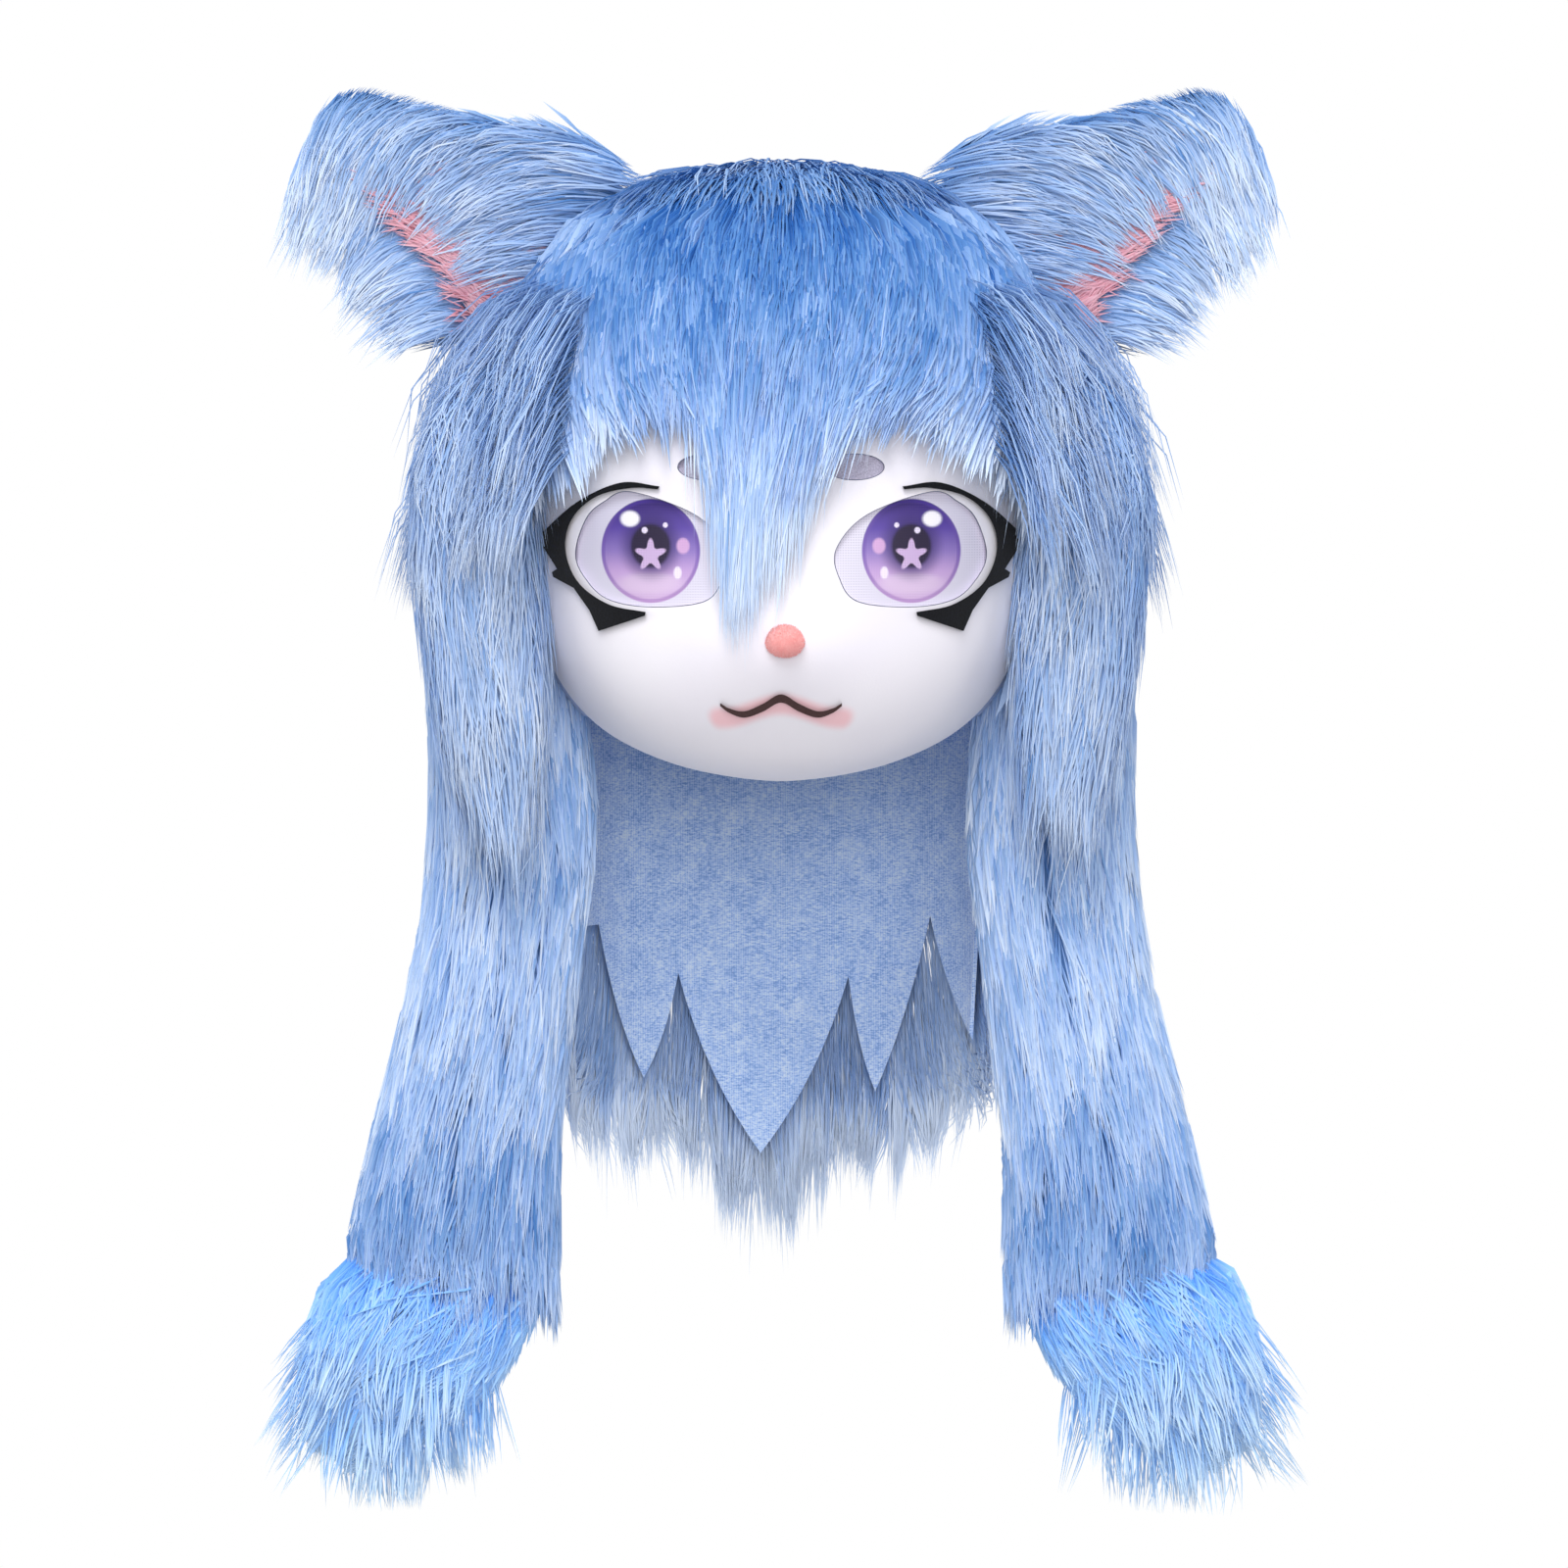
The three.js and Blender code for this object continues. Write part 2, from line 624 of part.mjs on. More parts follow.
const pawLocks = [
  { from: 0.3, edge: -1, down: 0.42, out: -0.06 }, { from: 0.45, edge: -0.9, down: 0.66, out: 0.02 },
  { from: 0.55, edge: -0.6, down: 0.82, out: 0.1 }, { from: 0.62, edge: -0.2, down: 0.94, out: 0.25 },
  { from: 0.7, edge: 0.2, down: 1.0, out: 0.42 }, { from: 0.7, edge: 0.7, down: 0.98, out: 0.6 },
  { from: 0.5, edge: 1, down: 0.86, out: 0.72 }, { from: 0.3, edge: 1, down: 0.66, out: 0.72 },
  { from: 0.1, edge: 1, down: 0.4, out: 0.66 },
];

function pawPlace(side, row) {
  const cuff = flapPoint(side, 1).middle;
  return new THREE.Vector3(
    cuff.x + side * row.out * pawLength, cuff.y, cuff.z - pieceGap - row.down * pawLength,
  );
}

function pawAt(share) {
  const next = Math.max(1, pawSections.findIndex((row) => row.down >= share));
  const [low, high] = [pawSections[next - 1], pawSections[next]];
  const t = (share - low.down) / (high.down - low.down);
  const mix = (key) => THREE.MathUtils.lerp(low[key], high[key], t);
  return { down: share, out: mix('out'), wide: mix('wide'), deep: mix('deep'), lean: mix('lean') };
}

function paw(side) {
  const rings = pawSections.map((row) => limbRing(
    pawPlace(side, row),
    row.wide * pawWide / 2,
    row.deep * flapDeep / 2,
    THREE.MathUtils.degToRad(row.lean),
    side,
  ));
  const tip = pawPlace(side, { down: 0.94, out: 0.52 });
  const locks = pawLocks.map((row) => {
    const section = pawAt(row.from);
    const lean = THREE.MathUtils.degToRad(section.lean);
    const half = row.edge * 0.72 * section.wide * pawWide / 2;
    const start = pawPlace(side, section);
    start.add(new THREE.Vector3(side * half * Math.cos(lean), -4, half * Math.sin(lean)));
    const end = pawPlace(side, row);
    const bend = start.clone().lerp(end, 0.55).add(new THREE.Vector3(side * 4, -2, 4));
    return lock([start, bend, end], pawLock, new THREE.Vector3(0, -1, 0));
  });
  const aboveCuff = box(
    [-reach, -reach, levelZ(flapDrop + flapLength) - pieceGap],
    [reach, reach, reach],
  );
  return joined([loft(rings, middleOf(rings[0]), tip), ...locks]).subtract(aboveCuff);
}

// Hair that falls beside the cheek, in front of the flap.
const sideHairSections = [
  { drop: 0.0, out: 0.84, wide: 0.3, deep: 0.4 },
  { drop: 0.1, out: 0.93, wide: 0.7, deep: 0.75 },
  { drop: 0.28, out: 1.0, wide: 1.0, deep: 0.97 },
  { drop: 0.5, out: 1.0, wide: 1.0, deep: 1.0 },
  { drop: 0.8, out: 0.96, wide: 0.8, deep: 0.85 },
  { drop: 1.0, out: 0.93, wide: 0.5, deep: 0.5 },
];
const sideHairLocks = [
  { from: 0.12, to: 0.4, start: 0.7, end: 1.35 }, { from: 0.4, to: 0.7, start: 0.7, end: 1.3 },
  { from: 0.34, to: 0.74, start: -0.6, end: -1.15 }, { from: 0.66, to: 1.04, start: -0.5, end: -1.6 },
  { from: 0.8, to: 1.2, start: -0.1, end: -1.0 }, { from: 0.8, to: 1.12, start: 0.5, end: 0.35 },
];

function sideHair(side) {
  const middleY = hairlineFront - sideHairDeep / 2;
  const place = (drop, across, forward) => new THREE.Vector3(
    side * (sideHairOut + across * sideHairWide / 2),
    middleY + forward,
    levelZ(sideHairDrop + drop * sideHairLength),
  );
  const rings = sideHairSections.map((row) => {
    const middle = place(row.drop, 0, 0);
    middle.x *= row.out;
    return limbRing(middle, row.wide * sideHairWide / 2, row.deep * sideHairDeep / 2, 0, side);
  });
  const locks = sideHairLocks.map((row, at) => {
    const start = place(row.from, row.start, at % 2 ? -6 : 2);
    const end = place(row.to, row.end, at % 2 ? -10 : -2);
    const bend = start.clone().lerp(end, 0.5).add(new THREE.Vector3(side * Math.sign(row.end) * 5, -5, 0));
    return lock([start, bend, end], sideLock, new THREE.Vector3(0, -1, 0));
  });
  const behind = box([-reach, hairlineFront, -reach], [reach, reach, reach]);
  return joined([loft(rings, middleOf(rings[0]), middleOf(rings.at(-1))), ...locks]).subtract(behind);
}

// Forelocks: where each starts on the hairline, where its tip lies, and its share of the width.
const bangLocks = [
  { root: -0.52, tip: -0.93, drop: 0.62, wide: 0.88 },
  { root: -0.46, tip: -0.86, drop: 0.53, wide: 0.88 },
  { root: -0.38, tip: -0.7, drop: 0.45, wide: 1 },
  { root: -0.28, tip: -0.48, drop: 0.37, wide: 1 },
  { root: -0.17, tip: -0.2, drop: 0.5, wide: 0.88 },
  { root: -0.1, tip: -0.12, drop: 0.64, wide: 1 },
  { root: -0.02, tip: -0.24, drop: 0.83, wide: 1.18 },
  { root: 0.05, tip: -0.1, drop: 0.76, wide: 1.12 },
  { root: 0.12, tip: 0.17, drop: 0.66, wide: 1 },
  { root: 0.18, tip: 0.28, drop: 0.48, wide: 0.88 },
  { root: 0.28, tip: 0.5, drop: 0.37, wide: 1 },
  { root: 0.39, tip: 0.72, drop: 0.45, wide: 1 },
  { root: 0.47, tip: 0.87, drop: 0.53, wide: 0.88 },
  { root: 0.53, tip: 0.94, drop: 0.62, wide: 0.88 },
];
const bangsHem = [
  { out: -1.2, drop: 0.28 }, { out: -0.98, drop: 0.5 }, { out: -0.72, drop: 0.38 }, { out: -0.42, drop: 0.3 },
  { out: -0.24, drop: 0.34 }, { out: -0.12, drop: 0.5 }, { out: 0.16, drop: 0.52 }, { out: 0.3, drop: 0.34 },
  { out: 0.44, drop: 0.3 }, { out: 0.74, drop: 0.38 }, { out: 0.98, drop: 0.5 }, { out: 1.2, drop: 0.28 },
];

function bangs(grow = 0) {
  const hem = bangsHem.map((row) => new THREE.Vector2(
    row.out * headWidth / 2, levelZ(row.drop * headHeight),
  ));
  const topLeft = new THREE.Vector2(-headWidth, levelZ(-headHeight));
  const topRight = new THREE.Vector2(headWidth, levelZ(-headHeight));
  const outline = new THREE.Shape([topLeft, ...hem, topRight]);
  const layer = headForm(bangsDepth + grow, bangsSteps).intersect(prism(outline, trimNear, hairlineFront));
  const locks = bangLocks.map((row, at) => {
    const rootX = row.root * headWidth / 2;
    const tipX = row.tip * headWidth / 2;
    const tipDrop = row.drop * headHeight;
    const lift = bangsDepth + (at % 2 ? 1 : 3);
    const points = [
      facePoint(rootX, 0.07 * headHeight, bangsDepth - 4),
      facePoint((rootX + tipX) / 2, tipDrop * 0.62, lift + 7),
      facePoint(tipX, tipDrop, lift - 5),
    ];
    const facing = facePoint(rootX, tipDrop * 0.6, 10).sub(facePoint(rootX, tipDrop * 0.6, 0));
    const size = { wide: row.wide * bangLock.wide, deep: bangLock.deep };
    return lock(points, size, facing.add(new THREE.Vector3(0, -0.5, 0)), grow);
  });
  const behind = box([-reach, hairlineFront, -reach], [reach, reach, reach]);
  const standOff = headForm(feltThickness + 2 * pieceGap - 2 * grow);
  return joined([layer, ...locks]).subtract(behind).subtract(standOff);
}

// The nape curtain's plan at each level: a half ellipse open to the front.
const curtainSections = [
  { drop: 0.0, wide: 1.03, deep: 1.0 },
  { drop: 0.1, wide: 0.95, deep: 0.93 },
  { drop: 0.25, wide: 0.87, deep: 0.86 },
  { drop: 0.6, wide: 0.82, deep: 0.82 },
  { drop: 1.0, wide: 0.78, deep: 0.8 },
  { drop: 1.22, wide: 0.77, deep: 0.8 },
];
const curtainSteps = 9;

function curtainSection(share) {
  const next = Math.max(1, curtainSections.findIndex((row) => row.drop >= share));
  const [low, high] = [curtainSections[next - 1], curtainSections[next]];
  const t = (share - low.drop) / (high.drop - low.drop);
  const mix = (key) => THREE.MathUtils.lerp(low[key], high[key], t);
  return { drop: share, wide: mix('wide'), deep: mix('deep') };
}

function curtainPoint(angle, row, lift) {
  const wide = row.wide * curtainWide / 2 + lift;
  const deep = row.deep * curtainDeep + lift;
  const z = levelZ(curtainTop + row.drop * curtainLength);
  return new THREE.Vector3(-wide * Math.cos(angle), curtainFront + deep * Math.sin(angle), z);
}

function curtain(low, high) {
  const angles = Array.from({ length: curtainSteps + 1 }, (_, at) => Math.PI * at / curtainSteps);
  const rings = curtainSections.map((row) => [
    ...angles.map((angle) => curtainPoint(angle, row, high)),
    ...angles.slice().reverse().map((angle) => curtainPoint(angle, row, low)),
  ]);
  return loftStrip(rings);
}

// A closed skin through bent strip rings, its two ends closed by bands instead of fans.
function loftStrip(rings) {
  const count = rings[0].length;
  const half = count / 2;
  const points = rings.flat();
  const at = (ring, side) => ring * count + (side % count);
  const index = [];
  for (let ring = 0; ring + 1 < rings.length; ring += 1) {
    for (let side = 0; side < count; side += 1) {
      index.push(at(ring, side), at(ring, side + 1), at(ring + 1, side));
      index.push(at(ring, side + 1), at(ring + 1, side + 1), at(ring + 1, side));
    }
  }
  [0, rings.length - 1].forEach((ring) => {
    for (let side = 0; side + 1 < half; side += 1) {
      const outer = [at(ring, side), at(ring, side + 1)];
      const inner = [at(ring, count - 2 - side), at(ring, count - 1 - side)];
      const quad = [...outer, ...inner];
      const [a, b, c, d] = ring === 0 ? quad : quad.reverse();
      index.push(a, c, b, a, d, c);
    }
  });
  const geometry = new THREE.BufferGeometry().setFromPoints(points);
  geometry.setIndex(index);
  return solidFrom(geometry);
}

// Petals of the jersey's hem: the tips and the notches between them, with the bulge of each edge.
const hemPoints = [
  { out: -0.78, drop: 0.53, bulge: 0 }, { out: -0.59, drop: 0.842, bulge: -0.03 },
  { out: -0.442, drop: 0.633, bulge: 0.02 }, { out: -0.088, drop: 0.998, bulge: -0.06 },
  { out: 0.29, drop: 0.64, bulge: 0.06 }, { out: 0.405, drop: 0.872, bulge: -0.02 },
  { out: 0.64, drop: 0.516, bulge: 0.02 }, { out: 0.82, drop: 0.76, bulge: -0.02 },
  { out: 1.0, drop: 0.45, bulge: 0.02 },
];

function hemShape() {
  const place = (out, drop) => {
    const z = levelZ(curtainTop + drop * curtainLength);
    return new THREE.Vector2(out * curtainWide / 2, z);
  };
  const shape = new THREE.Shape();
  shape.moveTo(-curtainWide, levelZ(0));
  shape.lineTo(-curtainWide, place(0, hemPoints[0].drop).y);
  shape.lineTo(...place(hemPoints[0].out, hemPoints[0].drop).toArray());
  hemPoints.slice(1).forEach((point, at) => {
    const before = hemPoints[at];
    const bend = place((before.out + point.out) / 2 + point.bulge, (before.drop + point.drop) / 2 + 0.03);
    const end = place(point.out, point.drop);
    shape.quadraticCurveTo(bend.x, bend.y, end.x, end.y);
  });
  shape.lineTo(curtainWide, place(0, hemPoints.at(-1).drop).y);
  shape.lineTo(curtainWide, levelZ(0));
  return shape;
}

function napeLining() {
  return curtain(0, jerseyWall).intersect(prism(hemShape(), 0, reach, 4)).subtract(headGrown);
}

// Tips of the nape fur: place across the curtain, and fall below it by share of furBelowHem.
const napeTips = [
  { out: -0.86, hang: -0.36 },
  { out: -0.68, hang: 0.2 },
  { out: -0.48, hang: 0 },
  { out: -0.28, hang: 0.51 },
  { out: -0.09, hang: 1.02 },
  { out: 0.08, hang: 0.72 },
  { out: 0.26, hang: 0.1 },
  { out: 0.45, hang: 0.26 },
  { out: 0.66, hang: -0.15 },
  { out: 0.86, hang: -0.72 },
];
const napeTiers = tierRows([0.2, 0.42, 0.64], [0, 0.1, 0.31, 0.53, 0.72]);

function napeFur() {
  const inside = jerseyWall + pieceGap;
  const tipPoint = (out, drop, lift) => {
    const row = { drop, wide: 0.8, deep: 0.81 };
    return curtainPoint(Math.acos(-out / row.wide * 0.85), row, lift);
  };
  const locks = napeTips.map((tip) => {
    const fall = 1 + tip.hang * furBelowHem / curtainLength;
    const points = [
      tipPoint(tip.out * 0.96, fall - 0.42, inside + napeFurDepth * 0.5),
      tipPoint(tip.out, fall - 0.2, inside + napeFurDepth * 0.8),
      tipPoint(tip.out, fall, inside + napeFurDepth * 0.4),
    ];
    const facing = new THREE.Vector3(tip.out, 1, 0);
    return lock(points, napeLock, facing);
  });
  const angles = Array.from({ length: 2 * curtainSteps + 1 }, (_, at) => Math.PI * at / (2 * curtainSteps));
  const rings = napeTiers.map((row) => [
    ...angles.map((angle, at) => {
      const section = curtainSection(row.share + row.ragged * zigzag(at) * raggedEdge);
      return curtainPoint(angle, section, inside + napeFurDepth + row.rise * lockRise);
    }),
    ...angles.slice().reverse().map((angle) => curtainPoint(angle, curtainSection(row.share), 0)),
  ]);
  const layer = loftStrip(rings);
  const above = box([-reach, -reach, levelZ(curtainTop)], [reach, reach, reach]);
  const inFront = box([-reach, -reach, -reach], [reach, curtainFront, reach]);
  const inner = curtain(-curtainDeep / 2, inside);
  return joined([layer, ...locks]).subtract(above).subtract(inFront).subtract(inner);
}

const costumeHead = new THREE.Group();

function addPiece(name, solid, color, finish = furFinish) {
  const mesh = solid.getMesh();
  const geometry = new THREE.BufferGeometry();
  geometry.setAttribute('position', new THREE.BufferAttribute(new Float32Array(mesh.vertProperties), 3));
  geometry.setIndex(new THREE.BufferAttribute(new Uint32Array(mesh.triVerts), 1));
  geometry.computeVertexNormals();
  const piece = new THREE.Mesh(geometry, new THREE.MeshStandardMaterial({ color, ...finish }));
  piece.name = name;
  costumeHead.add(piece);
}

const clothFinish = { roughness: 0.85, metalness: 0 };
const earRoom = joined([ear(-1, pieceGap), ear(1, pieceGap)]);
const flapRooms = joined([flapRoom(-1), flapRoom(1)]);
const bangsRoom = bangs(2 * pieceGap);

addPiece('face_shell', faceShell(), '#f1eff5', clothFinish);
addPiece('hood_shell', hoodShell(), '#8fb0dd', clothFinish);
addPiece('crown_fur', crownFur().subtract(headGrown).subtract(earRoom).subtract(flapRooms), deepBlue);
addPiece('bangs', bangs(), skyBlue);
addPiece('nape_lining', napeLining(), '#8daad8', clothFinish);
addPiece('nape_fur', napeFur().subtract(headGrown).subtract(flapRooms), deepBlue);
addPiece('nose', nose(), '#fbb6b3', clothFinish);
addPiece('mouth_line', faceTrim(mouthShape(), pieceGap, pieceGap + 1.4, 4), '#43302f', clothFinish);

for (const [side, name] of [[1, 'left'], [-1, 'right']]) {
  const earSolid = ear(side).subtract(headGrown).subtract(flapRoom(side));
  const flapSolid = flap(side).subtract(headGrown);
  const eyeMesh = faceTrim(eyeShape(side, pieceGap), -meshInset - meshThickness, -meshInset, 4);
  const browMesh = faceTrim(browShape(side, pieceGap), -meshInset - meshThickness, -meshInset, 5);
  const lash = faceTrim(lashShape(side), pieceGap, pieceGap + feltThickness, 4);
  const furForm = headForm(furDepth + 2 * lockRise, furSteps);
  const liner = innerEar(side).subtract(furForm).subtract(ear(side, pieceGap));
  addPiece(`ear_${name}`, earSolid, skyBlue);
  addPiece(`inner_ear_${name}`, liner, '#e7a1ad');
  addPiece(`side_hair_${name}`, sideHair(side).subtract(headForm(furDepth / 3)).subtract(bangsRoom), skyBlue);
  addPiece(`flap_${name}`, flapSolid, skyBlue);
  addPiece(`paw_${name}`, paw(side), deepBlue);
  addPiece(`eye_mesh_${name}`, eyeMesh, '#9b83c4', clothFinish);
  addPiece(`brow_mesh_${name}`, browMesh, '#dcdce6', clothFinish);
  addPiece(`lash_${name}`, lash, '#0a0a0c', clothFinish);
}

export default costumeHead;
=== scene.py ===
"""Dresses a plush cat costume head: mask, printed eyes, long-pile hood, ears, flaps, paws and nape."""

import math

import bmesh
import bpy
import numpy as np
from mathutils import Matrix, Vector
from mathutils.kdtree import KDTree


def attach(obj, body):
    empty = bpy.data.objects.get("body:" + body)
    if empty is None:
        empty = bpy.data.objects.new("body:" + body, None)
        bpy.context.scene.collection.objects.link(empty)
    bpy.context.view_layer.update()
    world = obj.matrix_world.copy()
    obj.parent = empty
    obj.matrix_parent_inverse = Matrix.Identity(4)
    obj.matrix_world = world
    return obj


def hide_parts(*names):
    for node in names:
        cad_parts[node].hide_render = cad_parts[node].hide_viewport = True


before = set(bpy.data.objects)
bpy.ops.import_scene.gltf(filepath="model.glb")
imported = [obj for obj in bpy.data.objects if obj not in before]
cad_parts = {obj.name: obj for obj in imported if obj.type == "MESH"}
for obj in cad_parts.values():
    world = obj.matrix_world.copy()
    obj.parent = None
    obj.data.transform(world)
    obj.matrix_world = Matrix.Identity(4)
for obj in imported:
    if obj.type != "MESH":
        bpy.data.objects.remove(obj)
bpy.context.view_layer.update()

MM = 0.001
PI = math.pi
# Driving sizes in millimetres, as the construction has them.
HEAD_WIDTH, HEAD_HEIGHT, CROWN_RISE = 270.0, 309.0, 14.0
FACE_REACH, BACK_REACH, ROUNDNESS = 142.0, 128.0, 2.3
FACE_WALL, HOOD_WALL, PIECE_GAP = 8.0, 10.0, 0.35
MUZZLE_LIFT, MUZZLE_WIDTH, MUZZLE_HEIGHT, MUZZLE_DROP = 11.0, 40.0, 30.0, 240.0
NECK_WIDTH, NECK_DEPTH, NECK_BACK, HOOD_RIM_DROP = 170.0, 152.0, 20.0, 276.0
EYE_SPACING, EYE_DROP, EYE_WIDE, EYE_HIGH = 130.5, 190.0, 77.0, 59.0
MESH_INSET, MESH_THICKNESS, FELT_THICKNESS = 3.0, 1.2, 2.0
BROW_SPACING, BROW_DROP, BROW_WIDE, BROW_HIGH = 74.0, 149.0, 30.0, 13.5
NOSE_WIDE, NOSE_HIGH, NOSE_DEEP, NOSE_DROP, NOSE_SIDE = 18.8, 16.0, 17.0, 236.0, 2.0
MOUTH_WIDE, MOUTH_DROP, MOUTH_LINE = 61.0, 270.0, 3.4
HAIRLINE_FRONT, WHORL_BACK = -50.0, 45.0
EAR_LENGTH, EAR_WIDE, EAR_DEEP, EAR_RISE = 150.0, 132.0, 56.0, 35.0
EAR_ROOT_OUT, EAR_ROOT_DROP = 112.0, 50.0
SIDE_HAIR_LENGTH, SIDE_HAIR_WIDE, SIDE_HAIR_DEEP = 248.0, 60.0, 44.0
SIDE_HAIR_OUT, SIDE_HAIR_DROP = 152.0, 80.0
FLAP_LENGTH, FLAP_WIDE, FLAP_DEEP = 462.0, 92.0, 66.0
FLAP_OUT, FLAP_BACK, FLAP_DROP = 148.0, -15.0, 80.0
PAW_LENGTH, PAW_WIDE, PAW_TIP_DROP = 118.0, 118.0, 682.0
CURTAIN_TOP, CURTAIN_LENGTH, CURTAIN_WIDE = 249.3, 256.0, 240.0
CURTAIN_DEEP, CURTAIN_FRONT, JERSEY_WALL = 92.0, 24.0, 2.0
# The joint between mask and hood, as shares of the face's reach at the crown and the chin.
JOINT_TOP, JOINT_CHIN = 0.7, 0.28
# How far a limb's combed surface lies inside its outline, to leave room for its fur.
FLAP_INSET, PAW_INSET, SIDE_HAIR_INSET = 5.0, 10.0, 4.0
# Half the size of a cutting block, well clear of the head.
CLEAR = 600.0

# The head form from the crown down: share of the height, half width, front and back reach.
HEAD_ROWS = np.array([
    (0.0, 0.0, 0.0, 0.0),
    (0.02, 0.37, 0.32, 0.41), (0.08, 0.63, 0.55, 0.69), (0.175, 0.83, 0.74, 0.86),
    (0.3, 0.945, 0.86, 0.97), (0.43, 0.99, 0.93, 1.0), (0.56, 1.0, 0.975, 1.0),
    (0.675, 0.985, 0.995, 0.98), (0.775, 0.935, 1.0, 0.925), (0.855, 0.835, 0.965, 0.86),
    (0.92, 0.68, 0.89, 0.77), (0.968, 0.45, 0.77, 0.55), (1.0, 0.0, 0.3, -0.333),
])


def smooth(knots, values, at):
    """A curve through the rows of a table, carried on straight past its ends."""
    slopes = np.gradient(values, knots, axis=0)
    at = np.asarray(at, float)
    low = np.clip(np.searchsorted(knots, at) - 1, 0, len(knots) - 2)
    inside = np.clip(at, knots[0], knots[-1])
    gap = knots[low + 1] - knots[low]
    t = (inside - knots[low]) / gap
    shape = at.shape + (1,) * (values.ndim - 1)
    t, gap, past = t.reshape(shape), gap.reshape(shape), (at - inside).reshape(shape)
    curve = (
        (2 * t ** 3 - 3 * t ** 2 + 1) * values[low] + (t ** 3 - 2 * t ** 2 + t) * gap * slopes[low]
        + (3 * t ** 2 - 2 * t ** 3) * values[low + 1] + (t ** 3 - t ** 2) * gap * slopes[low + 1]
    )
    end = np.where(past < 0, slopes[0], slopes[-1])
    return curve + past * end


def signed_power(value, power):
    return np.sign(value) * np.abs(value) ** power


def points_of(x, y, z):
    return np.stack(np.broadcast_arrays(x, y, z), axis=-1)


def level(drop):
    return CROWN_RISE - drop


def head_section(share):
    """Half width, front and back of the head form, followed by its angle down from the crown."""
    turn = np.arccos(1 - 2 * np.clip(share, 0, 1))
    rows = smooth(np.arccos(1 - 2 * HEAD_ROWS[:, 0]), HEAD_ROWS[:, 1:], turn)
    sizes = rows * np.array([HEAD_WIDTH / 2, FACE_REACH, BACK_REACH])
    return sizes[..., 0], sizes[..., 1], sizes[..., 2], turn


def muzzle_at(x, z):
    across, down = x / MUZZLE_WIDTH, (z - level(MUZZLE_DROP)) / MUZZLE_HEIGHT
    return MUZZLE_LIFT * np.exp(-across ** 2 - down ** 2)


def head_point(angle, share, lift=0.0):
    """A point on the head form. The angle is 0 in front and grows towards the wearer's left."""
    wide, front, back, turn = head_section(share)
    pole = np.clip(np.minimum(turn, PI - turn) / 0.284, 0, 1)
    forward = np.cos(angle)
    deep = np.where(forward > 0, front, back) + lift * pole
    x = (wide + lift * pole) * signed_power(np.sin(angle), 2 / ROUNDNESS)
    middle = level(HEAD_HEIGHT / 2)
    z = middle + (level(share * HEAD_HEIGHT) - middle) * (1 + 2 * lift / HEAD_HEIGHT)
    muzzle = np.where(forward > 0, muzzle_at(x, z) * forward, 0)
    y = -deep * signed_power(forward, 2 / ROUNDNESS) - muzzle
    return points_of(x, y, z)


def face_point(x, z, lift=0.0):
    """A point on the front of the head form, by its place as seen from the front."""
    wide, front, _, _ = head_section((CROWN_RISE - z) / HEAD_HEIGHT)
    aside = np.clip(np.abs(x) / (wide + lift), 0, 1)
    y = -(front + lift) * (1 - aside ** ROUNDNESS) ** (1 / ROUNDNESS) - muzzle_at(x, z)
    return points_of(x, y, z)


# Materials

def linear(code):
    """An sRGB hex colour as the linear colour that shaders take."""
    parts = [int(code[at:at + 2], 16) / 255 for at in (1, 3, 5)]
    return [p / 12.92 if p <= 0.04045 else ((p + 0.055) / 1.055) ** 2.4 for p in parts] + [1.0]


def add(tree, kind, inputs=None, **settings):
    """Adds a node. An input takes a value, an output, or a node whose first output it links to."""
    made = tree.nodes.new(kind if kind[:2] in ("Ge", "No") else "ShaderNode" + kind)
    for name, value in settings.items():
        setattr(made, name, value)
    for key, value in (inputs or {}).items():
        if isinstance(value, bpy.types.Node):
            value = value.outputs[0]
        if isinstance(value, bpy.types.NodeSocket):
            tree.links.new(value, made.inputs[key])
        else:
            made.inputs[key].default_value = value
    return made


def start_material(name, roughness, sheen=0.0, specular=0.5):
    """A new material with its shader, ready for a pattern to be linked to it."""
    material = bpy.data.materials.new(name)
    material.use_nodes = True
    tree = material.node_tree
    tree.nodes.clear()
    shader = add(tree, "BsdfPrincipled", {
        "Roughness": roughness, "Sheen Weight": sheen, "Sheen Roughness": 0.5,
        "Specular IOR Level": specular,
    })
    add(tree, "OutputMaterial", {"Surface": shader})
    return material, tree, shader


def ramp_of(tree, factor, stops):
    """A colour ramp node through (place, hex colour) stops."""
    ramp = add(tree, "ValToRGB", {"Fac": factor})
    band = ramp.color_ramp
    while len(band.elements) < len(stops):
        band.elements.new(0.5)
    for element, (place, code) in zip(band.elements, stops):
        element.position = place
        element.color = linear(code)
    return ramp.outputs["Color"]


FUR_BLUES = [
    (0.0, "#2A63AE"), (0.25, "#5686C4"), (0.5, "#86A9DA"), (0.75, "#AEC7EC"), (1.0, "#DAE6F7"),
]
PAW_BLUES = [(0.0, "#4A90EE"), (0.35, "#7AB5F8"), (0.65, "#A6D1FF"), (1.0, "#CFE7FF")]
PINK_PLUSH = [(0.0, "#C98496"), (0.5, "#DCA0AE"), (1.0, "#E8C0CB")]
UV_FUR = "OFBake"


